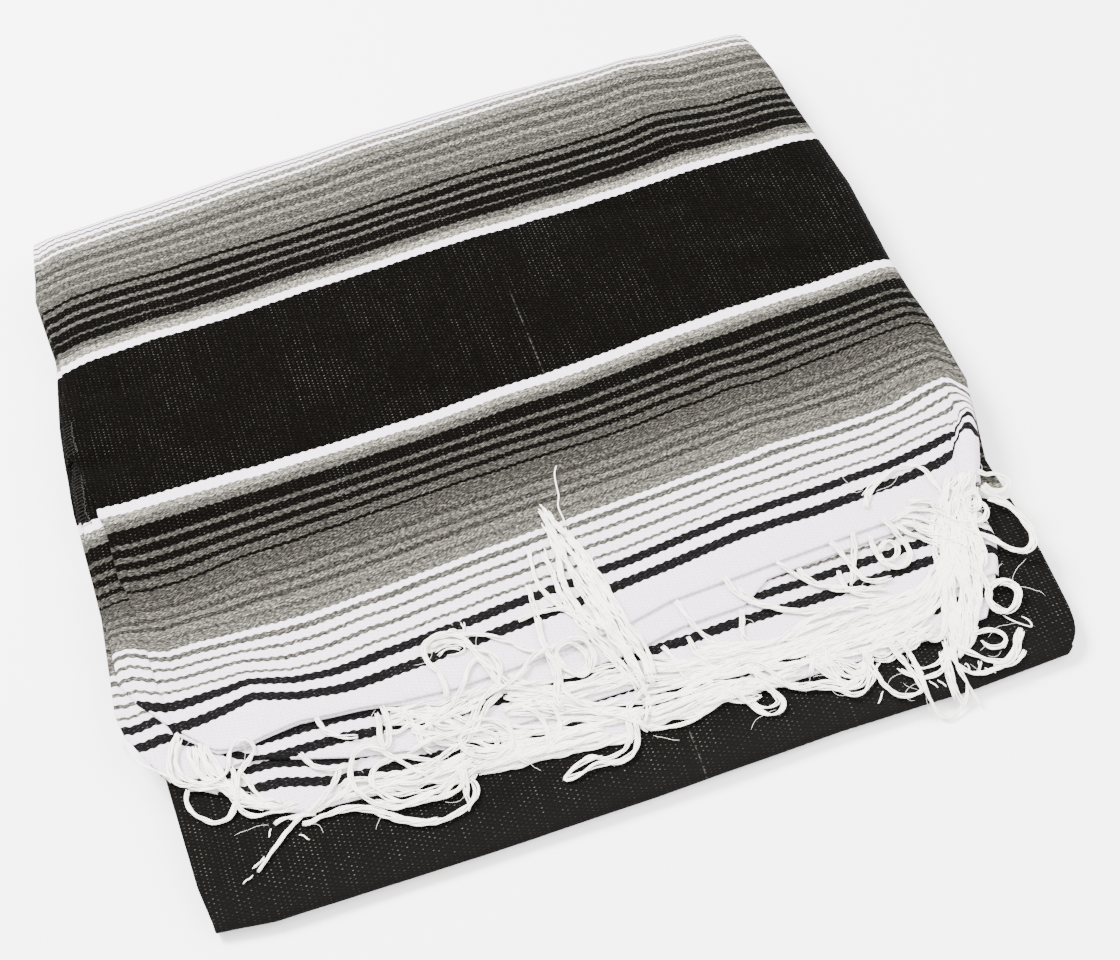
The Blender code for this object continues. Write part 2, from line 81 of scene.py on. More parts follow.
# Small creases of the cloth alone, in the same form
CREASES = (
    (-236, 232, -120, 214, -0.7, 6), (-150, 120, -20, 96, 0.6, 9), (-30, 232, 66, 178, 0.8, 8),
    (40, 150, 196, 118, -0.7, 7), (120, 86, 262, 52, 0.8, 9), (176, 34, 272, 8, -1.1, 7),
    (-262, 10, -150, -12, 0.8, 8), (-268, 118, -196, 104, -0.8, 7), (-90, 44, 40, 20, -0.6, 8),
    (-40, -20, 60, -54, 0.6, 7), (166, -14, 268, -44, 1, 6), (186, -60, 262, -112, -1.2, 6),
    (-248, -54, -180, -92, -0.9, 6), (-232, -104, -160, -146, 1, 7), (-120, -90, -30, -128, 0.6, 7),
    (60, -96, 150, -146, -0.6, 6), (176, 262, 226, 176, -1, 8), (-216, -206, -196, -262, 0.9, 9),
    (-60, -226, -84, -266, -0.7, 8), (146, -216, 176, -268, 0.8, 9), (262, -84, 230, -146, -2.4, 3),
    (272, -80, 240, -160, 2.4, 7),
)
RIPPLE = 0.16        # height of the cloth's slight unevenness

# Lines across the stack, as (x, y): the two folds and the fringed edges. Like the sides below, most
# are points picked by eye in the picture, which a script turned into millimetres.
FAR_ROW = ((-250, 248.5), (-150, 251), (-60, 256.5), (55, 259.5), (110, 258), (150, 255), (250, 254.5))
FRONT_ROW = (
    (-255, -245), (-222, -250), (-100, -251), (0, -250.5), (60, -249), (110, -247.5), (190, -248.5),
    (255, -245.5),
)
EDGE_TOP = (
    (-246, -148), (-241, -153), (-228, -167), (-214, -170), (-178, -167), (-160, -169.5), (-143, -171),
    (-120, -175), (-86, -178), (-58, -177), (13, -173), (45, -166), (112, -163), (224, -158), (250, -150),
)
# x, and how far the second edge lies in front of the top one
SECOND_LEAD = ((-246, 3), (-215, 0.5), (-130, 0.5), (-90, 5), (-50, 15), (86, 18), (104, 7), (250, 6.5))
EDGE_THIRD = (
    (-272, -168), (-258, -175), (-243, -180), (-216, -178), (-206, -180), (-183, -188), (-156, -197),
    (-117, -205), (-60, -209), (57, -210), (189, -213), (250, -209),
)
EDGE_FOURTH = (
    (-262, -180), (-242, -186), (-230, -194), (-214, -208), (-192, -218.5), (-148, -222), (-95, -228),
    (-22, -233), (184, -236), (250, -231),
)

# The sides, as (y, x). UNDER is the underside and the black band, CORE the hidden plies.
LEFT_TOP = (
    (268, -255), (228, -260.5), (207, -262.5), (139, -258.5), (90, -267), (72, -268), (60, -263),
    (45, -262), (26, -257.3), (17, -258.5), (3, -256), (-34, -255.9), (-45, -253.2), (-63, -251),
    (-103, -250), (-132, -248), (-149, -245), (-180, -238),
)
LEFT_SECOND = (
    (66, -266), (52, -269), (38, -270), (24, -271.3), (11, -270), (-12, -271.5), (-39, -271), (-105, -272),
    (-122, -264), (-143, -250), (-180, -241),
)
LEFT_THIRD = ((-60, -272), (-130, -277.5), (-146, -275), (-160, -268), (-175, -257), (-210, -248))
LEFT_FOURTH = ((-140, -237), (-168, -255), (-240, -246))
LEFT_UNDER = (
    (268, -256), (210, -265.5), (150, -261.5), (94, -270.5), (28, -274), (-62, -272.5), (-134, -272),
    (-164, -259), (-241, -257), (-264, -254),
)
RIGHT_TOP = (
    (268, 252), (225, 259.5), (190, 261), (150, 264), (104, 267.5), (34, 266.5), (0, 268), (-27, 271),
    (-76, 271.5), (-93, 266.8), (-108, 263), (-123, 258.4), (-137, 252.8), (-145, 248.6), (-160, 244),
)
RIGHT_THIRD = ((-60, 250), (-130, 246), (-156, 240), (-188, 240.5), (-215, 230))
RIGHT_FOURTH = ((-60, 243), (-156, 234), (-200, 232), (-215, 227), (-232, 213), (-240, 208))
RIGHT_UNDER = (
    (268, 253.5), (225, 259.5), (150, 260.5), (104, 270), (34, 267.5), (13, 271), (-27, 271), (-82, 270),
    (-133, 258), (-158, 260), (-204, 262), (-241, 262), (-250, 261), (-257, 259), (-262, 256), (-266, 252),
    (-270, 247.5),
)
RIGHT_CORE = (
    (268, 248), (225, 254.5), (150, 254.5), (104, 262.5), (34, 262), (0, 264), (-27, 266), (-76, 266),
    (-100, 262), (-133, 254.5), (-158, 256), (-204, 260), (-241, 258), (-258, 249), (-264, 246),
)

# ---------------------------------------------------------------- stripes

BAND_MARK = 6        # the level that marks the black middle band in the material
WARP = 2.67          # from one warp to the next
WEFT = 1.115         # from one weft to the next
BRIGHT_WARP = 28.7   # x of one warp that shows through the black band

# The weave chart, in millimetres along the cloth: (place, tone of the stripe that starts there, going
# down). 0 is black and 1 white. The near chart runs from a black band to the fringed end. The places and
# tones come from brightness profiles that a script took of the photograph.
NEAR_CHART = (
    (25.8, 1), (18.7, 0.72), (13.3, 0.54), (7.3, 0), (-2.6, 0.44), (-5.9, 0), (-11.6, 0.45), (-15.6, 0),
    (-20.4, 0.44), (-25.2, 0), (-28.8, 0.43), (-35.2, 0.04), (-37.4, 0.43), (-46.6, 0.5), (-50, 0.38),
    (-53.9, 0.57), (-59.2, 0.42), (-62.6, 0.62), (-66.3, 0.4), (-70, 0.63), (-76.4, 0.5), (-78.6, 0.62),
    (-86.2, 1), (-90.2, 0.57), (-94, 1), (-99, 0.61), (-101.6, 1), (-107, 0.58), (-109.7, 1), (-116, 0.64),
    (-118.2, 1), (-122.7, 0.17), (-128.4, 1), (-135, 0.17), (-141.4, 1),
)
NEAR_ENDS = (-142.0, -50.0, 30.0)    # low end, meeting of its two ramps, high end
WHITE_EDGE = 25.8                    # the black band starts here
# The far chart runs from the same black band to the white middle between two bands, going up.
FAR_CHART = (
    (147.1, 1), (153.1, 0.73), (158.4, 0.51), (163.8, 0), (170.3, 0.44), (172, 0), (178.8, 0.5), (182, 0),
    (187.2, 0.5), (190, 0), (195.6, 0.49), (199.8, 0.04), (202.7, 0.5), (211.2, 0.66), (213.2, 0.5),
    (220.4, 0.68), (223.8, 0.47), (229.9, 0.68), (233.6, 0.45), (239.4, 0.66), (243.3, 0.5), (245.4, 0.69),
    (251.5, 1), (253.6, 0.72), (257.4, 1), (260.2, 0.6), (261.9, 1), (265, 0.58), (266.7, 1), (270.2, 0.6),
    (271.8, 1), (275, 0.7), (276.5, 1),
)
FAR_ENDS = (26.0, 212.0, 290.0)
WHITE_MIDDLE = 290.0
CHARTS_MEET = 27.0                   # within the black band

# Where lines of the chart lie across the top stretch: chart place, then y at each of SKEW_X. A script
# measured many of these in the photograph, and the others were set by hand.
SKEW_X = (
    -254, -240, -222, -200, -175, -150, -100, -50, 0, 50, 100, 150, 200, 240, 252.5, 254, 256, 259, 263,
    266,
)
SKEW = (
    (-138, (
        -147, -148, -144, -142, -152, -157, -156, -152, -148.5, -144, -138, -138.5, -136.5, -131,
        -128.5, -119, -112.5, -111, -114, -118)),
    (-117, (
        -122, -122.5, -122, -126, -134.5, -136, -132.5, -128.2, -125, -121.4, -117, -116.4, -115.2,
        -108.6, -106.5, -101.5, -100.5, -99.5, -102.5, -107)),
    (-92.6, (
        -96, -101.5, -101.5, -104.5, -109, -108.5, -105.6, -101.6, -97.8, -94.8, -92.6, -91, -90.4,
        -82, -80, -80, -79.5, -80.5, -85, -90)),
    (-35.5, (
        -46, -49, -49.3, -48.6, -47.2, -45.6, -43.3, -40.6, -39.6, -39.3, -35.5, -34.6, -30.7,
        -26.5, -26, -26, -26, -26.5, -28, -30)),
    (25.8, (
        20, 19.2, 18.9, 18.6, 17.7, 16.9, 16.6, 17.1, 20.1, 20.6, 25, 28.2, 28.7, 29.3, 30, 30, 30,
        30, 30, 30)),
    (147.1, (
        136, 138, 139.7, 141, 140.6, 141, 144.2, 145.1, 147.1, 146.4, 146.7, 148.5, 150.1, 149,
        148.5, 148.5, 148.5, 148, 148, 148)),
    (202.5, (
        193, 197, 198.6, 197.6, 197.4, 198, 199, 200.5, 203, 204.5, 203.5, 203.5, 203, 203, 202,
        202, 202, 202, 202, 202)),
    (251.5, (
        236.5, 239.5, 240.8, 241, 241, 241.6, 244.6, 250.1, 251.1, 253.3, 254, 252, 250.5, 250,
        249.5, 249.5, 249.5, 249.5, 249.5, 249.5)),
)
ROLL_CREASE = 0.58   # the crease beside the right roll runs this much inward for each millimetre forward
ROLL_TOP = -104.0    # y where it starts
# The second stretch: x, how far its stripes lie in front of the top one's at the front, and farther back
SECOND_SHIFT = ((-274, -8), (-268, -9.5), (-262, -8), (-255, -3.5), (-248, -1), (-225, 3), (-200, 6.5))
SECOND_SHIFT_BACK = 4.0
# The third and the fourth stretch: y of the middle of the first black bar at each x. They are points
# picked by eye, turned into millimetres by a script.
BAR_THIRD = (
    (-277, -134.3), (-271, -136.5), (-254, -136), (-246, -140), (-222, -157), (-205, -169.4),
    (-179, -170.7), (-156, -172), (-135, -175), (-100, -178), (-10, -180.5), (20, -179.5), (85, -179),
    (135, -179.5), (200, -178.5), (220, -178.5), (230, -181), (236, -185), (241, -190),
)
BAR_FOURTH = (
    (-240, -181), (-214, -184.2), (-198, -185.1), (-189, -188), (-174, -193), (-160, -196), (-91, -201),
    (-30, -208), (89, -208.5), (240, -207),
)
BAR_PLACE = -125.5
# x, and the turn round the front fold at which the white line lies
NOSE_LINE = ((-260, 124), (-10, 109), (20, 104), (50, 99), (100, 96.5), (224, 96), (243, 118), (262, 140))
UNDER_START = 316.0  # path length where the underside starts, at the far fold
FAR_TURN_PLACE = 698.0    # path length at which the chart turns back on the underside
TURN_PLACE = -122.0  # chart place there

# ---------------------------------------------------------------- the stack's surface


@functools.lru_cache(maxsize=None)
def columns(table):
    """A table of pairs as two rows of numbers, in order."""
    return np.array(sorted(table), float).T


def lookup(table, key):
    """Straight interpolation in a table of pairs, held flat past both ends."""
    keys, values = columns(table)
    return np.interp(key, keys, values)


def smooth(value):
    value = np.clip(value, 0.0, 1.0)
    return value * value * (3.0 - 2.0 * value)


def ridges(x, y, rows):
    total = 0.0
    for x0, y0, x1, y1, rise, half_width in rows:
        run_x, run_y = x1 - x0, y1 - y0
        length = math.hypot(run_x, run_y)
        along = ((x - x0) * run_x + (y - y0) * run_y) / length ** 2
        across = ((x - x0) * run_y - (y - y0) * run_x) / length
        ends = smooth(along * 3.0) * smooth((1.0 - along) * 3.0)
        total = total + rise * np.exp(-(across / half_width) ** 2) * ends
    return total


def crown(y):
    steps = (-1.0, -0.6, -0.2, 0.2, 0.6, 1.0)
    return sum(lookup(CROWN, y + CROWN_BLUR * step) for step in steps) / len(steps)


def ripple(x, y):
    """Slight unevenness of handwoven cloth, mostly in the direction of the warps."""
    value = np.sin(x / 7.3 + 1.7 * np.sin(y / 37.0)) * np.sin(y / 23.0 + 0.9 * np.sin(x / 31.0))
    value = value + 0.8 * np.sin(x / 13.1 + y / 41.0 + 2.0) * np.sin(y / 17.0 - x / 53.0)
    return RIPPLE * value


def height(x, y):
    """Height of the stack's outer surface."""
    left, right = lookup(LEFT_UNDER, y), lookup(RIGHT_UNDER, y)
    side = smooth(1.0 - (x - left) / SIDE_ROUND) + smooth(1.0 - (right - x) / SIDE_ROUND)
    wave = 0.7 * np.sin(x / 46.0 + 0.8) * np.sin(y / 61.0)
    return crown(y) + wave - SIDE_FALL * side + ridges(x, y, RIDGES + CREASES) + ripple(x, y)


def line_of(table):
    """A line across the stack, as a function of x."""
    return functools.partial(lookup, table)


far_line = line_of(FAR_ROW)
front_line = line_of(FRONT_ROW)
edge_top = line_of(EDGE_TOP)
edge_third = line_of(EDGE_THIRD)
edge_fourth = line_of(EDGE_FOURTH)


def edge_second(x):
    return edge_top(x) - lookup(SECOND_LEAD, x)


def fold_half(x, line, inner):
    """Half the height of a fold's section."""
    return (height(x, line(x)) - inner) / 2.0


def fold_point(x, depth, turn, line, reach, way, inner=0.0):
    """A point round a fold. turn is in degrees from the top; way is +1 far, -1 in front."""
    half = fold_half(x, line, inner)
    angle = np.radians(turn)
    return np.stack((x + 0.0 * angle, line(x) + way * (reach - depth) * np.sin(angle),
                     half + (half - depth) * np.cos(angle)), -1)


def far_point(x, depth, turn):
    return fold_point(x, depth, turn, far_line, FAR_REACH, 1)


def front_point(x, depth, turn):
    return fold_point(x, depth, turn, front_line, FRONT_REACH, -1, inner=HOLD * PLY)


def flat_point(x, depth, y):
    return np.stack((x, y + 0.0 * x, height(x, y) - depth), -1)


def arc(half, reach, turn):
    """Length round a fold's section up to a turn, near enough."""
    return np.radians(turn) * np.sqrt((half ** 2 + reach ** 2) / 2.0)


# ---------------------------------------------------------------- places in the weave chart


def place_top(x, y):
    """Chart place on the top stretch."""
    x = x + ROLL_CREASE * np.maximum(ROLL_TOP - y, 0.0) * smooth((x - 226.0) / 14.0)
    lines = np.array([np.interp(x, SKEW_X, row[1]) for row in SKEW])
    places = [row[0] for row in SKEW]
    value = places[0] + (y - lines[0])
    for k in range(len(places) - 1):
        share = (y - lines[k]) / (lines[k + 1] - lines[k])
        inside = places[k] + (places[k + 1] - places[k]) * share
        value = np.where(share > 0.0, inside, value)
    past = places[-1] + (y - lines[-1])
    return np.where(y > lines[-1], past, value)


def place_second(x, y):
    front = lookup(SECOND_SHIFT, x)
    return place_top(x, y + front + (SECOND_SHIFT_BACK - front) * smooth((y + 95.0) / 60.0))


def place_bar(table):
    return lambda x, y: BAR_PLACE + (y - lookup(table, x))


def place_far(x, turn):
    return place_top(x, far_line(x)) + arc(fold_half(x, far_line, 0.0), FAR_REACH, turn)


def place_under(x, y):
    path = UNDER_START + far_line(x) - y
    return np.abs(FAR_TURN_PLACE - path) + TURN_PLACE


def place_front(x, turn):
    half = fold_half(x, front_line, HOLD * PLY)
    return WHITE_EDGE + arc(half, FRONT_REACH, lookup(NOSE_LINE, x)) - arc(half, FRONT_REACH, turn)


def place_strip(x, y):
    return place_front(x, 0.0) + y - front_line(x)


# ---------------------------------------------------------------- making meshes


def to_part(points):
    return (np.asarray(points, float) + ORIGIN_SHIFT) * MM


def link(name, data):
    """A new object in the scene."""
    thing = bpy.data.objects.new(name, data)
    bpy.context.scene.collection.objects.link(thing)
    return thing


def add_mesh(name, points, faces, material, cloth=None):
    """A piece from points in the stack's axes. cloth gives x, chart place and level of each point."""
    mesh = bpy.data.meshes.new(name)
    mesh.from_pydata(to_part(points).tolist(), [], faces)
    mesh.update()
    mesh.shade_smooth()
    if cloth is not None:
        layer = mesh.attributes.new("cloth", "FLOAT_VECTOR", "POINT")
        layer.data.foreach_set("vector", np.asarray(cloth, np.float32).ravel())
    mesh.materials.append(material)
    return link(name, mesh)


def quads(a, b, c, d):
    return np.stack((a, b, c, d), -1).reshape(-1, 4).tolist()


def unit(vectors):
    return vectors / (np.linalg.norm(vectors, axis=1)[:, None] + 1e-9)


def shell(name, outer, inner, chart, bulge=0.42):
    """A closed sheet of cloth between two grids of points, with rounded rims."""
    rows, cols = outer.shape[:2]
    number = np.arange(rows * cols).reshape(rows, cols)
    below = number + rows * cols
    faces = quads(number[:-1, :-1], number[:-1, 1:], number[1:, 1:], number[1:, :-1])
    faces += quads(below[:-1, :-1], below[1:, :-1], below[1:, 1:], below[:-1, 1:])
    ring = [(0, c) for c in range(cols)] + [(r, cols - 1) for r in range(1, rows)]
    ring += [(rows - 1, c) for c in range(cols - 2, -1, -1)] + [(r, 0) for r in range(rows - 2, 0, -1)]
    r, c = np.array(ring).T
    near_r, near_c = np.clip(r, 1, rows - 2), np.clip(c, 1, cols - 2)
    middle = (outer[r, c] + inner[r, c]) / 2.0
    away = middle - (outer[near_r, near_c] + inner[near_r, near_c]) / 2.0
    away = unit(away)
    rim_a = outer[r, c] * 0.8 + inner[r, c] * 0.2 + away * bulge * CLOTH
    rim_b = outer[r, c] * 0.2 + inner[r, c] * 0.8 + away * bulge * CLOTH
    count = len(ring)
    first = 2 * rows * cols + np.arange(count)
    top, low = number[r, c], below[r, c]
    for upper, lower in ((top, first), (first, first + count), (first + count, low)):
        faces += quads(upper, lower, np.roll(lower, -1), np.roll(upper, -1))
    points = np.concatenate((outer.reshape(-1, 3), inner.reshape(-1, 3), rim_a, rim_b))
    cloth = np.concatenate((chart.reshape(-1, 3), chart.reshape(-1, 3), chart[r, c], chart[r, c]))
    return add_mesh(name, points, faces, CLOTH_LOOK, cloth)


def bend(radius, full, steps):
    """An edge's bend: (outer reach, inner reach, outer depth, inner depth, length) at each step."""
    rows = []
    for k in range(1, steps + 1):
        turn = math.radians(full * k / steps)
        reach, drop = math.sin(turn), 1.0 - math.cos(turn)
        rows.append((radius * reach, (radius - CLOTH) * reach, radius * drop,
                     radius - (radius - CLOTH) * math.cos(turn), radius * turn))
    return rows


def across(left, right, count, left_bend, right_bend):
    """Stations of one row: outer x, inner x, outer depth, inner depth, x along the cloth."""
    flat_left = left + max([row[0] for row in left_bend], default=0.0)
    flat_right = right - max([row[0] for row in right_bend], default=0.0)
    row = [(x, x, 0.0, CLOTH, x) for x in np.linspace(flat_left, flat_right, count)]
    row += [(flat_right + o, flat_right + i, do, di, flat_right + n) for o, i, do, di, n in right_bend]
    row = [(flat_left - o, flat_left - i, do, di, flat_left - n) for o, i, do, di, n in left_bend][::-1] + row
    return np.array(row).T


def stretch(name, rows, level, left, right, count, left_bend=(), right_bend=(), mark=None):
    """A stretch of cloth. rows holds (point function of x and depth, chart function of x, y of each side)."""
    outer, inner, chart = [], [], []
    base = level * PLY
    for at, place, y_left, y_right in rows:
        xo, xi, do, di, along = across(float(lookup(left, y_left)), float(lookup(right, y_right)), count,
                                       left_bend, right_bend)
        outer.append(at(xo, base + do))
        inner.append(at(xi, base + di))
        chart.append(np.stack((along, place(xo), np.full_like(xo, level if mark is None else mark)), -1))
    return shell(name, np.array(outer), np.array(inner), np.array(chart))


def line_rows(start, end, shares, at, place):
    """Rows along lines between two others, at shares of the way."""
    rows = []
    for share in shares:
        line = lambda x, share=share: start(x) + (end(x) - start(x)) * share
        rows.append((lambda x, depth, line=line: at(x, depth, line(x)),
                     lambda x, line=line: place(x, line(x)), float(line(-SIDE_X)), float(line(SIDE_X))))
    return rows


def flat_rows(end, place, step, first=0.0):
    """Rows on the top of the stack, from the far fold or a share of the way on, to an edge."""
    span = float(abs(far_line(0.0) - end(0.0)))
    count = max(2, int(span * (1.0 - first) / step))
    return line_rows(far_line, end, np.linspace(first, 1.0, count + 1), flat_point, place)


def turn_rows(turns, at, place, line, reach):
    """Rows round a fold, at turns in degrees."""
    rows = []
    for turn in turns:
        sides = [float(line(x) + reach * math.sin(math.radians(turn))) for x in (-SIDE_X, SIDE_X)]
        rows.append((lambda x, depth, turn=turn: at(x, depth, turn), lambda x, turn=turn: place(x, turn),
                     *sides))
    return rows


def strip_point(x, depth, y):
    """A point of the black band where it lies under the four stretches."""
    return flat_point(x, HOLD * PLY + depth, y)


def under_point(x, depth, y):
    """A point of the underside, on the floor."""
    return np.stack((x, y + 0.0 * x, depth + 0.0 * x), -1)


# ---------------------------------------------------------------- materials

LIGHT = 7.2          # how bright the light is on a level white surface
BLACK_LEVEL = 16.0   # greys from 0 to 255, as the two yarns look
WHITE_LEVEL = 235.5


def look(level):
    """The share of light that a surface sends back to look this grey (0 to 255) in the scene's light."""
    share = min(level, 250.0) / 255.0
    return min(0.9, 0.21 * (share / (1.0 - share)) ** 1.24 / LIGHT)


def looks(*levels):
    """A colour from the greys that its red, green and blue look."""
    return tuple(look(level) for level in levels)


def tone_colour(tone):
    """Colour of a stripe: 0 is the black yarn, 1 the white one, and the rest is grey."""
    if tone <= 0.05:
        return looks(BLACK_LEVEL + 3.0, BLACK_LEVEL, BLACK_LEVEL - 3.0)
    if tone >= 0.95:
        return looks(WHITE_LEVEL, WHITE_LEVEL - 1.5, WHITE_LEVEL)
    grey = 255.0 * tone
    if tone < 0.3:
        return looks(grey, grey - 1.0, grey)
    return looks(grey + 2.0, grey - 1.0, grey - 8.0)


class Value:
    """A value that a material works out at each point. It adds, multiplies and compares like a number."""

    def __init__(self, nodes, socket):
        self.nodes = nodes
        self.socket = socket

    def __add__(self, other):
        return self.nodes.math("ADD", self, other)

    def __sub__(self, other):
        return self.nodes.math("SUBTRACT", self, other)

    def __rsub__(self, other):
        return self.nodes.math("SUBTRACT", other, self)

    def __mul__(self, other):
        return self.nodes.math("MULTIPLY", self, other)

    def __truediv__(self, other):
        return self.nodes.math("DIVIDE", self, other)

    def __gt__(self, other):
        return self.nodes.math("GREATER_THAN", self, other)

    def __lt__(self, other):
        return self.nodes.math("LESS_THAN", self, other)


class Nodes:
    """A few short ways of adding nodes to a material."""

    def __init__(self, material):
        material.use_nodes = True
        self.tree = material.node_tree
        self.shader = self.tree.nodes["Principled BSDF"]

    def add(self, kind, **values):
        node = self.tree.nodes.new(kind)
        for key, value in values.items():
            setattr(node, key, value)
        return node

    def link(self, value, socket):
        """Put a value, a number or a colour into a socket."""
        if isinstance(value, Value):
            self.tree.links.new(value.socket, socket)
        elif isinstance(value, tuple):
            socket.default_value = (*value, 1.0)
        else:
            socket.default_value = value

    def run(self, node, output, *inputs):
        """A node's output as a value, with its inputs given as pairs of a name or number and what goes in."""
        for key, value in inputs:
            self.link(value, node.inputs[key])
        return Value(self, node.outputs[output])

    def math(self, operation, a, b=0.0):
        return self.run(self.add("ShaderNodeMath", operation=operation), 0, (0, a), (1, b))

    def mix(self, share, a, b):
        node = self.add("ShaderNodeMix", data_type="RGBA")
        return self.run(node, "Result", ("Factor", share), ("A", a), ("B", b))

    def spread(self, value, low, high, to_low=0.0, to_high=1.0):
        node = self.add("ShaderNodeMapRange", interpolation_type="SMOOTHSTEP")
        return self.run(node, "Result", ("Value", value), ("From Min", low), ("From Max", high),
                        ("To Min", to_low), ("To Max", to_high))

    def noise(self, x, y, z, detail=1.0):
        place = self.run(self.add("ShaderNodeCombineXYZ"), 0, (0, x), (1, y), (2, z))
        return self.run(self.add("ShaderNodeTexNoise"), "Fac", ("Scale", 1.0), ("Detail", detail),
                        ("Vector", place))

    def stripes(self, value, chart, low, high):
        """A chart of stripes as a ramp with hard steps."""
        node = self.add("ShaderNodeValToRGB")
        ramp = node.color_ramp
        ramp.interpolation = "CONSTANT"
        rows = sorted(chart)
        ramp.elements[0].position = 0.0
        ramp.elements[0].color = (*tone_colour(rows[0][1]), 1.0)
        ramp.elements.remove(ramp.elements[1])
        for place, tone in rows[1:]:
            element = ramp.elements.new((place - low) / (high - low))
            element.color = (*tone_colour(tone), 1.0)
        return self.run(node, 0, (0, (value - low) / (high - low)))

    def chart(self, value, chart, low, middle, high):
        """A long chart as two ramps that meet at the middle."""
        rows = sorted(chart)
        meeting = [tone for at, tone in rows if at <= middle][-1]
        first = self.stripes(value, [row for row in rows if row[0] < middle], low, middle)
        second = self.stripes(value, [(middle, meeting)] + [row for row in rows if row[0] > middle],
                              middle, high)
        return self.mix(value > middle, first, second)


def rising(chart, low):
    """The near chart turned to run upward: each stripe starts at its lower edge."""
    places = [max(row[0], low) for row in chart[1:]] + [low]
    return [(place, row[1]) for place, row in zip(places, chart)]


def stripe_colour(n, x, c, level):
    """The stripes' plain colours. A stripe's edge steps from weft to weft and wanders a little."""
    wander = (n.noise(x / 26.0, c / 40.0, level) - 0.5) * 1.6
    scallop = n.math("SINE", x * (math.pi / WARP)) * 0.36
    place = c + (wander + scallop)
    near = n.chart(place, rising(NEAR_CHART, NEAR_ENDS[0]) + [(WHITE_EDGE, 0.0)], *NEAR_ENDS)
    # past the white middle the chart runs back
    folded = n.math("MINIMUM", place, 2.0 * WHITE_MIDDLE - place)
    far = n.chart(folded, [(FAR_ENDS[0], 0.0)] + list(FAR_CHART), *FAR_ENDS)
    return n.mix(place > CHARTS_MEET, near, far)


def warp_flecks(n, x, c, level, weave, dark, band, near_fold):
    """White warps that show between black wefts, more in some places than in others."""
    warp = n.math("ROUND", x / WARP)
    weft = n.math("ROUND", c / WEFT)
    patch = n.spread(n.noise(x / 45.0, c / 45.0, level, 3.0), 0.3, 0.75)
    column = n.spread(n.noise(warp * 7.3, 3.0, level, 0.0), 0.3, 0.8)
    cell = n.spread(n.noise(warp * 5.1, weft * 3.7, level, 0.0), 0.35, 0.75)
    patch = n.math("MAXIMUM", patch, n.spread(c, 2.0, 12.0, 0.55, 0.0))
    patch = n.math("MAXIMUM", patch, band * 0.75)
    dots = n.spread(weave + band * 0.03, 0.8, 0.97)
    fleck = dots * (patch + 0.12) * ((column + 0.25) * (cell + 0.1)) * (dark * 1.3)
    fleck = fleck * (1.0 - band * near_fold * 0.75)
    # one warp that shows all along the black stripe
    line = n.spread(n.math("ABSOLUTE", x - BRIGHT_WARP), 0.1, 0.5, 0.5, 0.0)
    line = line * cell * (dark * ((c > 26.0) * (c < 96.0)))
    return n.math("MINIMUM", n.math("MAXIMUM", fleck, line), 1.0)


def cloth_material():
    material = bpy.data.materials.new("serape_cloth")
    n = Nodes(material)
    attribute = n.add("ShaderNodeAttribute", attribute_name="cloth")
    split = n.add("ShaderNodeSeparateXYZ")
    n.tree.links.new(attribute.outputs["Vector"], split.inputs[0])
    x, c, level = (Value(n, socket) for socket in split.outputs)
    base = stripe_colour(n, x, c, level)
    # how much of a heather the stripe is
    tone = n.run(n.add("ShaderNodeRGBToBW"), 0, (0, base))
    dark = n.spread(tone, 0.003, 0.009, 1.0, 0.0)
    white = n.spread(tone, 0.3, 0.6)
    heather = 1.0 - dark - white
    # the mottle of spun yarn: short slanting dashes and soft clouds
    dash = n.noise((x - c * 1.3) / 1.7, c, level, 1.0)
    cloud = n.noise(x / 9.0, c / 3.0, level, 2.0)
    mottle = (dash - 0.5) * 9.5 + (cloud - 0.5) * 1.6
    strength = heather + white * 0.07 + dark * 0.5
    bright = n.math("POWER", 2.0, mottle * strength)
    scale = n.add("ShaderNodeVectorMath", operation="SCALE")
    yarn = n.run(scale, 0, (0, base), ("Scale", bright))
    # painted sheen: the black middle band is mixed towards a paler greyish black, more still where it turns
    # round the front fold, standing in for the sheen of the black wool seen at a grazing angle
    band = dark * (level > BAND_MARK - 0.5)
    near_fold = n.spread(c, 30.0, 66.0, 1.0, 0.0)
    yarn = n.mix(band * (near_fold * 0.36 + 0.4), yarn, looks(56.0, 54.5, 52.0))
    weave = n.math("COSINE", x * (math.pi / WARP)) * n.math("COSINE", c * (math.pi / WEFT))
    fleck = warp_flecks(n, x, c, level, weave, dark, band, near_fold)
    colour = n.mix(fleck, yarn, looks(182.0, 180.0, 176.0))
    # painted shade: the weave's low pits, where the bump below sinks, are darkened a little towards a dark
    # grey, except in the black stripes
    pit_shade = n.spread(weave, 0.5, 1.0) * (1.0 - dark)
    n.link(n.mix(pit_shade * 0.17, colour, looks(70.0, 68.0, 66.0)), n.shader.inputs["Base Color"])
    normal = n.run(n.add("ShaderNodeBump"), 0, ("Strength", 0.55), ("Distance", 0.25 * MM),
                   ("Height", dash * 0.5 - weave))
    n.link(normal, n.shader.inputs["Normal"])
    n.shader.inputs["Roughness"].default_value = 0.92
    n.shader.inputs["Specular IOR Level"].default_value = 0.0
    n.shader.inputs["Sheen Weight"].default_value = 0.02
    n.shader.inputs["Sheen Roughness"].default_value = 0.5
    return material


def yarn_material(name, colour):
    material = bpy.data.materials.new(name)
    n = Nodes(material)
    n.shader.inputs["Base Color"].default_value = (*colour, 1.0)
    n.shader.inputs["Roughness"].default_value = 0.9
    n.shader.inputs["Specular IOR Level"].default_value = 0.2
    n.shader.inputs["Sheen Weight"].default_value = 0.15
    return material


CLOTH_LOOK = cloth_material()
YARN_LOOK = yarn_material("serape_yarn", (0.9, 0.885, 0.81))
THREAD_LOOK = yarn_material("overlock_thread", looks(60.0, 62.0, 52.0))

# ---------------------------------------------------------------- the cloth

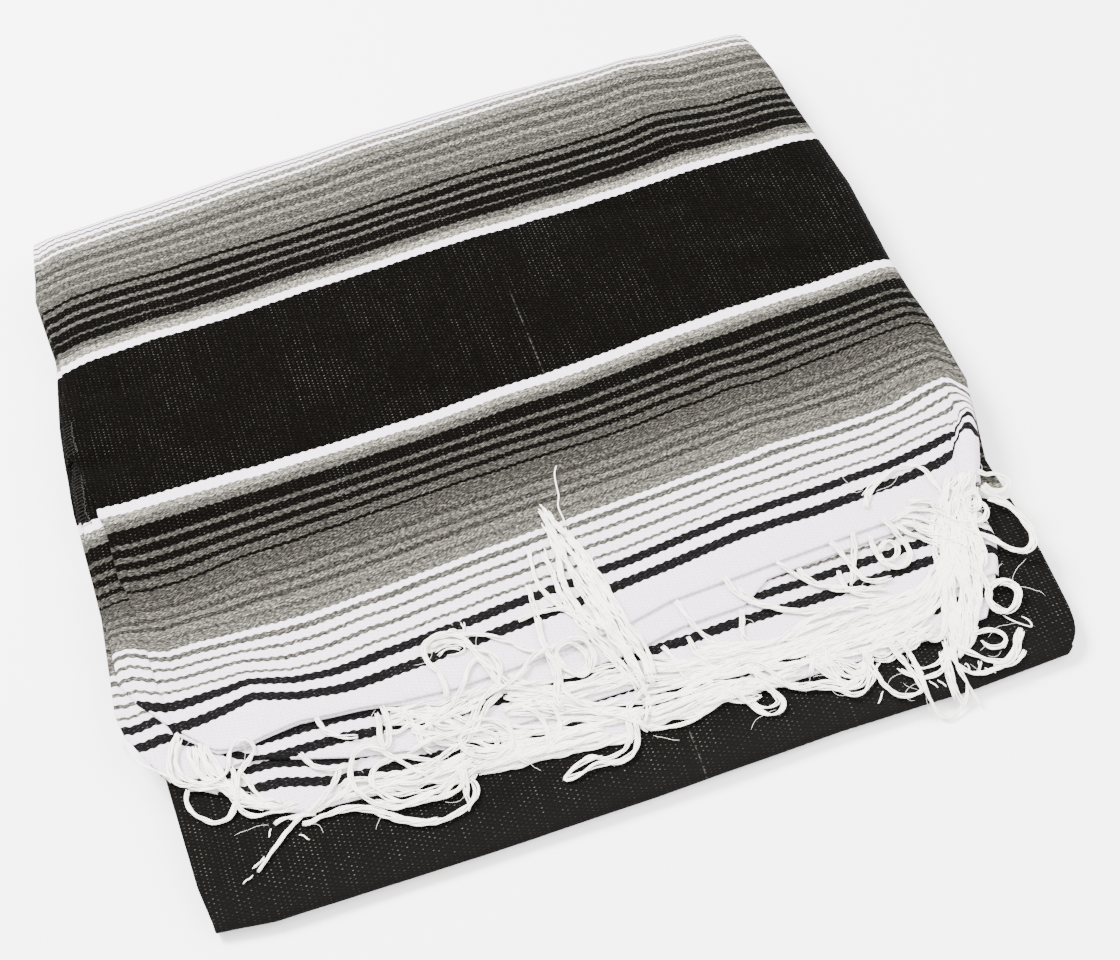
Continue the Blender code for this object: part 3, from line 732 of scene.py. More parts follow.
TOP_BEND = bend(TOP_LIP, 95.0, 8)
UNDER_BEND = bend(UNDER_LIP, 95.0, 6)
SECOND_BEND = bend(SECOND_LIP, 90.0, 5)
TURN_STEPS = 26
TURNS = [180.0 * k / TURN_STEPS for k in range(TURN_STEPS + 1)]
FAR_TURNS = [180.0 - turn for turn in TURNS[:-1]]

top = stretch("Serape_Top", turn_rows(FAR_TURNS, far_point, place_far, far_line, FAR_REACH)
              + flat_rows(edge_top, place_top, 2.9), 0, LEFT_TOP, RIGHT_TOP, 150, right_bend=TOP_BEND)
second = stretch("Serape_Second", flat_rows(edge_second, place_second, 3.2, first=0.44), 1, LEFT_SECOND,
                 tuple((y, x - SIDE_TRIM) for y, x in RIGHT_TOP), 130, left_bend=SECOND_BEND)
third = stretch("Serape_Third", flat_rows(edge_third, place_bar(BAR_THIRD), 3.2, first=0.58),
                2, LEFT_THIRD, RIGHT_THIRD, 130, right_bend=UNDER_BEND)
fourth = stretch("Serape_Fourth", flat_rows(edge_fourth, place_bar(BAR_FOURTH), 3.2, first=0.6),
                 3, LEFT_FOURTH, RIGHT_FOURTH, 120)

# the black band: where it lies under the four stretches, round the front fold, and the underside
strip_rows = line_rows(far_line, front_line, np.linspace(0.66, 1.0, 60)[:-1], strip_point, place_strip)
nose_rows = turn_rows(TURNS, front_point, place_front, front_line, -FRONT_REACH)
under_rows = line_rows(front_line, lambda x: far_line(x) - AIR, np.linspace(0.0, 1.0, 84)[1:], under_point,
                       place_under)
band = stretch("Serape_Band", strip_rows + nose_rows + under_rows, 0, LEFT_UNDER, RIGHT_UNDER, 150,
               mark=BAND_MARK)

PIECES = [(top, "top_panel"), (second, "second_panel"), (third, "third_panel"), (fourth, "fourth_panel"),
          (band, "bottom_panel")]

# ---------------------------------------------------------------- the hidden plies

PLIES = 12           # plies in the stack, counted from the top down
SIDE_STATIONS = 9    # stations of a row near each side edge
SIDE_MARGIN = 46.0   # how wide their part of the row is
SPACE = 3.1          # from one hidden ply to the next, where they are loosest
LOBE_REACH = 3.4     # how far a fold at a side bulges
NOSE_ROWS = 15       # rows round a fold
FAR_END = 246.0      # y where the rows above and below end, at the far fold
FRONT_END = -247.0   # y where the rows below end, at the front fold
SHORT_END = -84.0    # y where the innermost ply ends below

# Each hidden ply joins another by the far fold: (ply above, joined below, y where the upper one ends,
# whether the fold at its left or at its right joins it to the next ply inside, sway, wave of its edge)
PAIRS = (
    (1, 10, 66.0, "left", 1.0, 41.0),
    (2, 9, -2.0, "", 2.2, 57.0),
    (3, 8, -14.0, "right", 1.4, 33.0),
    (4, 7, -74.0, "left", 1.2, 49.0),
    (5, 6, -74.0, "", 2.6, 37.0),
)


def ply_depth(x, y, ply):
    """Depth of a ply below the outer surface. The last ones are spread over what the stack leaves."""
    first = HOLD * PLY
    room = height(x, y) - PLY - first
    back = first + (ply - HOLD) * room / (PLIES - 1 - HOLD)
    front = first + (ply - HOLD - 2) * room / (PLIES - 3 - HOLD)
    share = smooth((-40.0 - y) / 60.0)
    deep = back + (front - back) * share
    return ply * PLY + 0.0 * x if ply < HOLD else deep


def ply_xs(left, right, left_lobe, right_lobe, full):
    """Stations of one row of a hidden ply: x and depth of both faces. They crowd at its side edges."""
    near = np.linspace(0.0, 1.0, SIDE_STATIONS) ** 1.4 * SIDE_MARGIN
    middle = np.linspace(left + SIDE_MARGIN, right - SIDE_MARGIN, 12)[1:-1]
    xs = np.concatenate((left + near, middle, (right - near)[::-1]))
    row = [(x, x, 0.0, CLOTH) for x in xs]
    half = (SPACE * full + CLOTH) / 2.0
    reach = CLOTH * 0.6 + (LOBE_REACH - CLOTH * 0.6) * full
    inside = max(reach - CLOTH, 0.1)
    turns = [math.radians(20.0 * step) for step in range(1, 10)]
    lobe = [(reach * math.sin(t), inside * math.sin(t), half * (1.0 - math.cos(t)),
             half - (half - CLOTH) * math.cos(t)) for t in turns]
    lobe.append((-6.0 * full, -6.0 * full, 2.0 * half, 2.0 * half - CLOTH))
    if right_lobe:
        row += [(right + o, right + i, do, di) for o, i, do, di in lobe]
    if left_lobe:
        row = [(left - o, left - i, do, di) for o, i, do, di in lobe][::-1] + row
    return np.array(row).T


def hidden_ply(upper, lower, end, lobe, sway, wave):
    """A ply of the stack, over the far fold and back below. The outer ones go round the front fold too."""
    outer, inner, chart = [], [], []

    def above(x, d, y, ply=upper):
        return np.stack((x, y + 0.0 * x, height(x, y) - ply_depth(x, y, ply) - d), -1)

    def below(x, d, y):
        return np.stack((x, y + 0.0 * x, height(x, y) - ply_depth(x, y, lower) - CLOTH + d), -1)

    def nose(x, d, turn, line, ply, reach):
        """A point round a fold between the ply given and the lower one."""
        high, low = above(x, d, line(x), ply), below(x, d, line(x))
        angle = math.radians(turn)
        z = (high[:, 2] + low[:, 2]) / 2.0 + (high[:, 2] - low[:, 2]) / 2.0 * math.cos(angle)
        return np.stack((x, line(x) + reach * math.sin(angle), z), -1)

    def add(at, place, y):
        swing = sway * (1.0 + math.sin(y / wave + upper))
        inset = LOBE_REACH if lobe else 0.0
        left = float(lookup(LEFT_UNDER, y)) + swing * 0.6 + (inset if lobe == "left" else 0.4)
        right = float(lookup(RIGHT_CORE, y)) - swing * 0.6 - (inset if lobe == "right" else 0.4) + 2.0
        # the side folds round the shorter plies close up where those end
        full = float(smooth((y - SHORT_END) / 30.0)) if lower in (7, 8) else 1.0
        xo, xi, do, di = ply_xs(left, right, lobe == "left", lobe == "right", full)
        outer.append(at(xo, do))
        inner.append(at(xi, di))
        chart.append(np.stack((xo, place(xo), np.full_like(xo, upper)), -1))

    for y in np.linspace(end, FAR_END, int((FAR_END - end) / 6.0)):
        add(lambda x, d: above(x, d, y), lambda x: place_top(x, y), y)
    reach = FAR_REACH - upper * PLY * 1.12
    for turn in np.linspace(8.0, 172.0, NOSE_ROWS):
        add(lambda x, d: nose(x, d, turn, far_line, upper, np.maximum(reach - d, 0.3)),
            lambda x: place_far(x, turn), 262.0)
    for y in np.linspace(FAR_END, SHORT_END if lower == 6 else FRONT_END, 76):
        add(lambda x, d: below(x, d, y), lambda x: place_under(x, y), y)
    if lower > 8:
        reach = FRONT_REACH - (PLIES - 1 - lower) * PLY * 1.15
        partner = 17 - lower
        for turn in np.linspace(172.0, 8.0, NOSE_ROWS):
            add(lambda x, d: nose(x, d, turn, front_line, partner, d - reach),
                lambda x: place_front(x, turn), -258.0)
    return np.array(outer), np.array(inner), np.array(chart)


def join(name, parts):
    """One object from several, in the first one's place."""
    with bpy.context.temp_override(active_object=parts[0], selected_editable_objects=parts):
        bpy.ops.object.join()
    parts[0].name = name
    return parts[0]


plies = join("Serape_Plies", [shell("ply_%d" % row[0], *hidden_ply(*row)) for row in PAIRS])
PIECES.append((plies, "folded_core"))

# ---------------------------------------------------------------- camera

# The camera of the picture, in the stack's axes: a least-squares fit to picked points. The turn
# is in degrees, and the focal length and the picture's size are in pixels.
CAMERA_PLACE = np.array((-157.8, -895.45, 1151.95))
CAMERA_TURN = (36.9862, 4.8258, -17.9169)
FOCAL = 2330.0
PHOTO = (1120, 960)
SENSOR = 36.0        # width of the sensor


def camera_axes():
    a, b, c = (math.radians(value) for value in CAMERA_TURN)
    turn_x = np.array(((1, 0, 0), (0, math.cos(a), -math.sin(a)), (0, math.sin(a), math.cos(a))))
    turn_y = np.array(((math.cos(b), 0, math.sin(b)), (0, 1, 0), (-math.sin(b), 0, math.cos(b))))
    turn_z = np.array(((math.cos(c), -math.sin(c), 0), (math.sin(c), math.cos(c), 0), (0, 0, 1)))
    return turn_z @ turn_y @ turn_x


AXES = camera_axes()

# ---------------------------------------------------------------- the fringe

DROP_RUN = 9.0       # how far in front of the fold a strand reaches the floor
FLOOR_LIFT = 0.2


def skin(x, y):
    """Height of what shows from above, as the fringe lies on it."""
    level = np.where(y > edge_top(x), 0, np.where(y > edge_second(x), 1, np.where(
        y > edge_third(x), 2, np.where(y > edge_fourth(x), 3, HOLD))))
    z = height(x, y) - level * PLY
    past = front_line(x) - y
    half = fold_half(x, front_line, HOLD * PLY)
    reach = np.clip(past / FRONT_REACH, 0.0, 0.999)
    nose = half + half * np.sqrt(1.0 - reach ** 2)
    # past the front fold, strands drop to the floor
    drop = np.maximum(half * (1.0 - (past - FRONT_REACH) / DROP_RUN), FLOOR_LIFT)
    nose = np.where(past > FRONT_REACH, np.minimum(nose, drop), nose)
    return np.where(past > 0.0, nose, z)


def spots_on_skin(spots):
    """Where points of the picture lie on the visible surface: x and y of each."""
    u, v = np.array(spots, float).T
    ways = np.stack(((u - PHOTO[0] / 2) / FOCAL, -(v - PHOTO[1] / 2) / FOCAL, -np.ones_like(u)), -1) @ AXES.T
    z = np.full_like(u, 22.0)
    for _ in range(12):
        along = (z - CAMERA_PLACE[2]) / ways[:, 2]
        at = CAMERA_PLACE + ways * along[:, None]
        z = 0.5 * z + 0.5 * skin(at[:, 0], at[:, 1])
    return at[:, :2]


def segments(points):
    """Length of each segment of a path."""
    return np.linalg.norm(np.diff(points, axis=0), axis=1)


def curve(points, count):
    """A smooth way through points."""
    points = np.asarray(points, float)
    padded = np.vstack((2 * points[0] - points[1], points, 2 * points[-1] - points[-2]))
    total = np.concatenate(((0.0,), np.cumsum(segments(points))))
    result = []
    for value in np.linspace(0.0, total[-1], count):
        k = min(int(np.searchsorted(total, value, side="right")) - 1, len(points) - 2)
        t = (value - total[k]) / (total[k + 1] - total[k] + 1e-9)
        p0, p1, p2, p3 = padded[k:k + 4]
        result.append(0.5 * (2 * p1 + (p2 - p0) * t + (2 * p0 - 5 * p1 + 4 * p2 - p3) * t ** 2
                             + (3 * p1 - p0 - 3 * p2 + p3) * t ** 3))
    return np.array(result)


def path_axes(path):
    """Directions along a path and level across it, at each of its points."""
    step = unit(np.gradient(path, axis=0))
    return step, unit(np.cross(step, (0.0, 0.0, 1.0)))


def tube_mesh(path, radius, sides, store):
    """A thin tube along a path, added to a store of points and faces."""
    points, faces = store
    step, side = path_axes(path)
    rise = np.cross(side, step)
    first = sum(len(p) for p in points)
    taper = np.ones(len(path))
    taper[0] = taper[-1] = 0.5
    for k in range(sides):
        turn = 2.0 * math.pi * k / sides
        points.append(path + (side * math.cos(turn) + rise * math.sin(turn)) * (radius * taper)[:, None])
    rows = len(path)
    ids = np.arange(rows - 1)
    for k in range(sides):
        a = first + k * rows + ids
        b = first + (k + 1) % sides * rows + ids
        faces += quads(a, b, b + 1, a + 1)
    faces.append([first + k * rows for k in range(sides)][::-1])
    faces.append([first + k * rows + rows - 1 for k in range(sides)])


rng = random.Random(2158)


def bundle(path, store, strands=6, width=1.25, thread=0.48, sides=4):
    """A loose bundle of fine threads along a path."""
    side = path_axes(path)[1]
    t = np.linspace(0.0, 1.0, len(path))
    length = segments(path).sum()
    for k in range(strands):
        phase = 2.0 * math.pi * k / strands + rng.uniform(-0.4, 0.4)
        turns = length / rng.uniform(26.0, 44.0)
        spread = width * rng.uniform(0.45, 1.0)
        angle = phase + 2.0 * math.pi * turns * t
        sway = spread * np.cos(angle) + 0.3 * np.sin(t * rng.uniform(6.0, 14.0) + phase)
        lift = 0.5 * spread * (1.0 + np.sin(angle))
        start = rng.uniform(0.0, 0.015)
        end = rng.uniform(0.94, 1.0)
        keep = (t >= start) & (t <= end)
        way = path + side * sway[:, None] + np.array((0.0, 0.0, 1.0)) * lift[:, None]
        tube_mesh(way[keep], thread, sides, store)


def lay(spots, lift, spacing=1.8):
    """Lay a way given in the picture on the visible surface."""
    points = spots_on_skin(spots)
    way = curve([(x, y, 0.0) for x, y in points], max(8, int(segments(points).sum() / spacing)))
    z = skin(way[:, 0], way[:, 1])
    soft = z.copy()
    for _ in range(3):
        soft = np.maximum(z, (np.roll(soft, 1) + np.roll(soft, -1)) / 2.0)
        soft[0], soft[-1] = z[0], z[-1]
    way[:, 2] = soft + lift
    return way


# Ways of single bundles as they lie in the picture: threads, height above what carries them, then
# points of the picture. Each one is laid on the surface that lies behind its points.
WAYS = {
    "fringe_top": (
        (6, 1.0, (674, 600), (680, 607), (686, 617), (694, 628), (704, 637), (716, 643), (735, 646),
         (760, 645), (790, 641), (820, 640)),
        (6, 1.2, (723, 577), (728, 585), (734, 593), (744, 600), (760, 606), (778, 611), (800, 613),
         (830, 612), (860, 608)),
        (6, 1.6, (774, 561), (783, 568), (793, 576), (806, 583), (824, 588), (845, 590), (865, 591),
         (890, 590)),
        (6, 1.6, (827, 542), (834, 548), (842, 557), (850, 566), (858, 575), (866, 582), (880, 583),
         (895, 578)),
        (6, 2.0, (879, 520), (888, 526), (896, 536), (904, 546), (910, 556), (907, 566), (899, 571),
         (889, 568), (880, 560)),
        (5, 1.0, (853, 530), (854, 545), (854, 560), (853, 575), (850, 590)),
        (5, 1.2, (868, 535), (872, 546), (878, 557), (885, 566), (892, 574)),
        (5, 1.4, (880, 556), (882, 546), (889, 543), (896, 547), (897, 556), (891, 562), (882, 561),
         (879, 553)),
        (6, 1.0, (865, 512), (868, 498), (874, 487), (885, 477), (900, 470), (915, 467), (924, 470),
         (930, 478), (936, 488), (944, 497), (952, 505)),
        (2, 1.2, (862, 500), (866, 492), (871, 486), (880, 480)),
        (6, 1.6, (905, 505), (925, 503), (940, 512), (955, 524), (968, 535), (978, 548), (985, 560)),
        (6, 1.4, (910, 520), (916, 529), (928, 536), (945, 540), (960, 546), (972, 556)),
        (6, 2.0, (972, 470), (969, 480), (962, 492), (955, 505), (950, 520)),
        (6, 1.8, (962, 472), (960, 484), (955, 498), (948, 512), (946, 530)),
        (6, 2.4, (974, 474), (984, 478), (995, 477), (1005, 482), (1008, 488), (1003, 493), (994, 494),
         (985, 490), (984, 484)),
        (6, 2.0, (978, 488), (988, 496), (1000, 502), (1012, 510), (1023, 521), (1031, 533), (1034, 545),
         (1028, 553), (1017, 553), (1005, 549), (993, 542), (978, 535), (963, 527), (948, 518)),
        (5, 1.6, (985, 500), (996, 504), (1008, 509), (1019, 518), (1028, 531), (1031, 544), (1024, 551),
         (1012, 551), (1000, 546), (985, 538), (970, 531)),
        (5, 2.2, (962, 503), (967, 497), (975, 497), (980, 503), (977, 511), (969, 512), (963, 507)),
        (5, 1.6, (958, 514), (968, 506), (980, 505), (987, 511), (984, 521), (971, 524), (959, 520)),
        (5, 2.0, (950, 488), (958, 500), (966, 512), (974, 526), (980, 541), (984, 556), (984, 572)),
        (5, 1.2, (885, 524), (900, 517), (915, 512), (930, 512), (944, 518)),
        (5, 1.6, (316, 716), (320, 726), (330, 735), (345, 739), (362, 738)),
        (5, 1.8, (380, 706), (386, 716), (390, 730), (390, 743), (386, 749), (382, 742), (380, 728),
         (376, 712)),
        (5, 1.6, (400, 710), (410, 722), (419, 735), (424, 747), (436, 756)),
        (4, 1.4, (380, 711), (395, 711), (410, 715), (424, 722), (434, 734)),
        (5, 2.2, (183, 737), (178, 752), (177, 766), (182, 778), (196, 784), (212, 784), (226, 778),
         (231, 768), (230, 756), (233, 746), (241, 741), (250, 743), (255, 751), (252, 761), (244, 769),
         (239, 780), (238, 796), (241, 811), (249, 818), (262, 818), (276, 813), (292, 812), (305, 808)),
        (6, 1.8, (181, 733), (174, 745), (170, 760), (171, 775), (178, 785), (192, 790), (210, 790),
         (222, 789), (230, 798), (240, 806), (255, 808), (268, 812)),
        (3, 1.0, (123, 737), (126, 752), (135, 762), (152, 770), (170, 778), (186, 787)),
        (3, 1.0, (447, 638), (450, 632), (455, 631), (459, 635)),
        (2, 1.0, (462, 622), (464, 629), (465, 636)),
    ),
    "fringe_second": (
        (5, 1.4, (739, 587), (743, 595), (752, 603), (768, 608), (790, 612), (815, 612)),
        (5, 1.6, (797, 567), (803, 576), (814, 585), (828, 590), (846, 592), (870, 590)),
        (5, 1.4, (687, 636), (692, 645), (697, 655), (706, 666), (718, 672), (740, 670)),
        (5, 1.2, (660, 646), (670, 656), (679, 667), (686, 680), (700, 684), (720, 682)),
        (5, 1.2, (741, 608), (742, 620), (743, 636), (752, 646)),
        (5, 1.6, (838, 570), (841, 580), (846, 590), (858, 596), (880, 598)),
        (6, 2.0, (447, 705), (446, 690), (440, 676), (430, 666), (424, 657), (426, 646), (436, 639),
         (450, 636), (463, 640), (474, 652), (484, 666), (496, 682), (508, 694)),
        (6, 1.6, (498, 684), (484, 666), (475, 662), (468, 672), (464, 688), (456, 702), (446, 712),
         (432, 720)),
        (6, 1.2, (430, 641), (455, 636), (480, 636), (505, 642), (525, 650), (543, 656)),
        (5, 1.0, (428, 650), (440, 644), (455, 643), (470, 648), (482, 658), (496, 672), (512, 688)),
        (2, 1.0, (432, 655), (440, 650), (450, 646), (460, 646), (465, 650), (456, 655), (444, 656)),
        (2, 1.2, (436, 660), (446, 651), (456, 649), (464, 652)),
        (6, 2.4, (553, 652), (541, 656), (530, 664), (520, 677), (505, 688), (488, 698), (478, 712),
         (468, 727), (455, 736), (438, 741), (420, 748), (404, 756)),
        (6, 2.0, (505, 694), (492, 704), (482, 718), (474, 732), (462, 746), (446, 757), (430, 766),
         (410, 771)),
        (6, 2.0, (538, 618), (541, 638), (548, 652), (556, 665), (559, 680), (557, 695), (560, 708),
         (570, 714)),
        (6, 2.4, (545, 650), (553, 664), (560, 678), (566, 692), (577, 704), (592, 711), (610, 716),
         (628, 722), (645, 730), (652, 736)),
        (5, 2.0, (549, 656), (558, 646), (572, 641), (586, 645), (594, 656), (593, 669), (584, 678),
         (572, 675), (562, 666), (557, 655), (563, 648), (575, 647), (585, 655), (586, 666)),
        (4, 1.4, (556, 660), (564, 670), (574, 676), (583, 673), (588, 664), (584, 653), (573, 648)),
        (5, 1.6, (500, 690), (520, 690), (545, 694), (570, 702), (600, 706), (625, 700)),
        (5, 1.6, (470, 648), (490, 655), (500, 670), (496, 688), (484, 700), (470, 706)),
    ),
    "fringe_third": (
        (6, 2.2, (432, 778), (418, 774), (405, 766), (392, 758), (380, 752), (367, 749), (356, 754),
         (351, 766), (351, 778), (356, 790), (368, 802), (385, 809), (400, 809), (420, 804), (440, 800),
         (455, 794), (464, 784), (466, 770)),
        (6, 1.6, (445, 768), (425, 762), (405, 758), (388, 762), (375, 772), (372, 786), (382, 797),
         (400, 802), (425, 799), (448, 790)),
        (6, 1.6, (300, 826), (310, 825), (325, 817), (345, 812), (365, 811), (383, 817), (400, 822),
         (420, 825), (440, 823), (455, 817), (467, 808), (475, 799), (476, 788), (470, 778)),
        (4, 1.2, (330, 814), (350, 808), (370, 808), (388, 815), (405, 820), (425, 821), (445, 819)),
        (3, 1.8, (463, 758), (465, 772), (468, 788), (468, 802)),
        (2, 1.6, (458, 765), (462, 780), (466, 795), (470, 805), (468, 816)),
        (5, 1.4, (340, 768), (336, 782), (326, 797), (314, 808), (302, 815)),
        (5, 1.4, (354, 778), (346, 792), (332, 803), (316, 812), (300, 818), (286, 820)),
        (5, 1.4, (300, 752), (306, 762), (318, 769), (334, 771), (350, 768)),
        (5, 2.4, (466, 730), (480, 722), (498, 724), (511, 735), (511, 750), (497, 759), (479, 759),
         (466, 753), (461, 742), (469, 734), (485, 732), (497, 739), (496, 748)),
        (4, 1.8, (474, 740), (482, 736), (492, 738), (498, 745), (492, 752), (481, 752), (473, 747)),
        (5, 1.8, (500, 715), (518, 708), (536, 714), (546, 728), (549, 746), (545, 760)),
        (5, 1.6, (504, 722), (512, 734), (517, 748), (522, 760), (534, 766)),
        (5, 1.6, (546, 700), (556, 712), (560, 726), (556, 740), (547, 752), (530, 760)),
        (5, 1.4, (520, 745), (535, 742), (552, 740), (570, 735), (585, 730)),
        (6, 2.0, (735, 664), (755, 664), (770, 674), (783, 684), (800, 690), (822, 690), (840, 692),
         (853, 697), (864, 694), (871, 684), (876, 672), (880, 660)),
        (5, 1.6, (745, 672), (760, 676), (776, 686), (795, 688), (815, 684), (832, 684), (850, 690)),
        (5, 1.4, (812, 652), (812, 666), (810, 682)),
        (5, 1.8, (826, 648), (829, 662), (836, 676), (843, 688), (852, 694)),
        (5, 1.6, (860, 648), (866, 660), (868, 674), (862, 686), (850, 690), (838, 686)),
        (6, 2.2, (884, 640), (896, 656), (908, 670), (919, 684), (922, 693), (911, 698), (898, 697),
         (886, 689), (877, 678), (868, 664), (862, 652)),
        (5, 1.8, (896, 640), (908, 654), (917, 670), (924, 688), (925, 698)),
        (3, 1.4, (900, 655), (908, 668), (916, 678), (922, 676), (915, 664), (905, 652)),
        (3, 1.4, (943, 640), (945, 652), (940, 662), (930, 668), (919, 670), (908, 664)),
        (4, 1.6, (948, 655), (945, 668), (936, 676), (922, 680), (908, 676), (895, 668)),
        (5, 1.6, (902, 632), (915, 634), (930, 642), (940, 640), (946, 628), (945, 612)),
    ),
    "fringe_fourth": (
        (6, 1.6, (189, 788), (187, 801), (192, 813), (204, 821), (216, 825), (228, 821), (235, 810),
         (237, 796), (235, 780), (231, 764)),
        (4, 1.0, (240, 772), (248, 782), (257, 795), (268, 806), (282, 808), (300, 800)),
        (5, 1.4, (305, 815), (293, 827), (281, 841), (269, 859), (256, 876)),
        (2, 1.2, (268, 856), (260, 864), (250, 872)),
        (1, 0.8, (256, 875), (248, 881), (241, 886)),
        (4, 1.4, (320, 815), (305, 816), (292, 818), (281, 822), (273, 829)),
        (1, 0.8, (273, 828), (270, 834), (269, 840)),
        (1, 0.8, (297, 837), (300, 835), (306, 838), (312, 842)),
        (6, 1.8, (632, 712), (636, 728), (638, 742), (634, 754), (624, 762), (610, 766), (596, 767),
         (583, 773), (571, 780), (565, 781), (567, 775), (578, 767), (592, 762), (606, 759)),
        (4, 1.4, (626, 720), (630, 735), (627, 748), (618, 756), (604, 760), (592, 758), (580, 762)),
        (5, 1.6, (650, 683), (640, 695), (631, 706), (628, 720), (631, 735), (632, 748)),
        (4, 1.2, (646, 690), (649, 705), (646, 718), (642, 728)),
        (5, 1.2, (632, 712), (642, 726), (651, 735)),
        (4, 1.2, (690, 690), (699, 700), (706, 713)),
        (6, 1.8, (745, 664), (757, 677), (768, 688), (778, 696), (784, 705), (780, 713), (770, 716),
         (757, 712), (746, 705), (738, 697), (725, 690)),
        (3, 1.4, (752, 672), (762, 684), (773, 695), (779, 703), (772, 708), (760, 708), (750, 701)),
        (6, 2.0, (970, 565), (980, 575), (987, 588), (988, 600), (994, 611), (1005, 615), (1015, 609),
         (1020, 598), (1015, 588), (1004, 583), (993, 587), (987, 597)),
        (4, 1.6, (975, 570), (984, 582), (990, 592), (991, 604), (999, 612), (1009, 612), (1016, 603),
         (1015, 592), (1006, 586), (996, 588)),
        (1, 1.0, (1000, 582), (1012, 588), (1022, 596)),
        (1, 1.0, (985, 592), (992, 586), (1004, 582), (1016, 589), (1023, 597)),
        (1, 1.0, (1000, 614), (1012, 621), (1024, 627), (1032, 628), (1029, 622), (1018, 616)),
        (6, 1.8, (1022, 628), (1017, 638), (1015, 649), (1010, 658), (1002, 663), (988, 662), (974, 657),
         (962, 651), (955, 644)),
        (5, 1.4, (1023, 630), (1019, 641), (1018, 652), (1013, 661), (1003, 666), (990, 666)),
        (4, 1.2, (1026, 649), (1021, 658), (1012, 665), (1000, 668), (984, 674), (970, 674)),
        (5, 1.8, (968, 636), (978, 635), (989, 632), (1000, 635), (1005, 641), (1001, 648), (991, 650),
         (982, 645), (976, 639)),
        (1, 1.0, (1002, 650), (1006, 645), (1005, 640)),
        (3, 1.4, (948, 655), (955, 664), (966, 672), (980, 675), (996, 671), (1010, 664)),
        (2, 1.0, (980, 660), (980, 668), (979, 675)),
        (1, 1.0, (962, 668), (966, 664), (969, 670), (966, 676)),
        (1, 1.0, (983, 667), (990, 671), (998, 675)),
        (1, 1.0, (928, 680), (934, 685), (940, 690)),
        (1, 1.0, (936, 679), (942, 684), (948, 689)),
        (5, 1.6, (946, 645), (948, 662), (952, 678), (956, 692), (961, 702), (967, 712)),
        (4, 1.6, (952, 648), (956, 664), (963, 678), (969, 690), (976, 701), (984, 710)),
        (4, 1.4, (920, 676), (927, 694), (934, 708), (944, 720), (956, 717), (964, 705), (967, 692),
         (964, 678)),
        (3, 1.2, (940, 650), (944, 668), (949, 684), (954, 697), (956, 705)),
        (1, 0.8, (885, 690), (881, 698), (877, 707)),
    ),
    "fringe_lock": (
        (7, 1.6, (648, 700), (640, 680), (628, 660), (612, 640), (596, 615), (582, 595), (570, 570),
         (560, 545), (548, 525), (537, 509)),
        (7, 2.4, (655, 690), (645, 665), (630, 640), (612, 615), (598, 590), (585, 565), (572, 545),
         (560, 530), (548, 518), (538, 506)),
        (7, 1.6, (640, 695), (625, 670), (608, 650), (592, 630), (578, 610), (566, 590), (560, 570),
         (556, 550), (550, 535), (540, 520)),
        (7, 2.4, (650, 680), (640, 655), (625, 630), (610, 605), (600, 585), (590, 570), (582, 555),
         (572, 542), (563, 528)),
        (6, 1.4, (652, 676), (636, 640), (618, 610), (604, 585), (592, 565), (580, 550), (570, 540)),
        (6, 1.2, (635, 690), (615, 665), (598, 645), (580, 625), (567, 605), (558, 590), (553, 575),
         (546, 560), (541, 548)),
        (6, 2.8, (645, 688), (630, 655), (614, 628), (600, 600), (588, 578), (576, 560), (566, 548),
         (556, 536)),
        (6, 2.6, (640, 678), (622, 648), (606, 622), (592, 600), (578, 582), (568, 566), (560, 552),
         (552, 540)),
        (5, 1.0, (527, 549), (531, 562), (536, 580), (541, 590), (552, 601), (565, 610), (580, 622),
         (598, 640), (612, 656)),
        (5, 1.0, (527, 584), (532, 600), (537, 617), (541, 635), (546, 650), (552, 668), (557, 685)),
        (5, 1.2, (560, 558), (561, 572), (565, 588), (574, 603), (588, 618), (604, 636)),
        (6, 1.2, (516, 624), (536, 615), (555, 611), (572, 614), (590, 622), (606, 630), (622, 642),
         (638, 658)),
        (1, 0.8, (558, 464), (555, 475), (556, 487), (559, 497), (559, 508), (563, 520), (566, 531)),
        (5, 3.0, (656, 682), (650, 660), (640, 640), (626, 622), (614, 604), (602, 584)),
        (5, 3.0, (636, 668), (620, 640), (606, 616), (594, 596), (582, 574), (574, 556)),
    ),
}

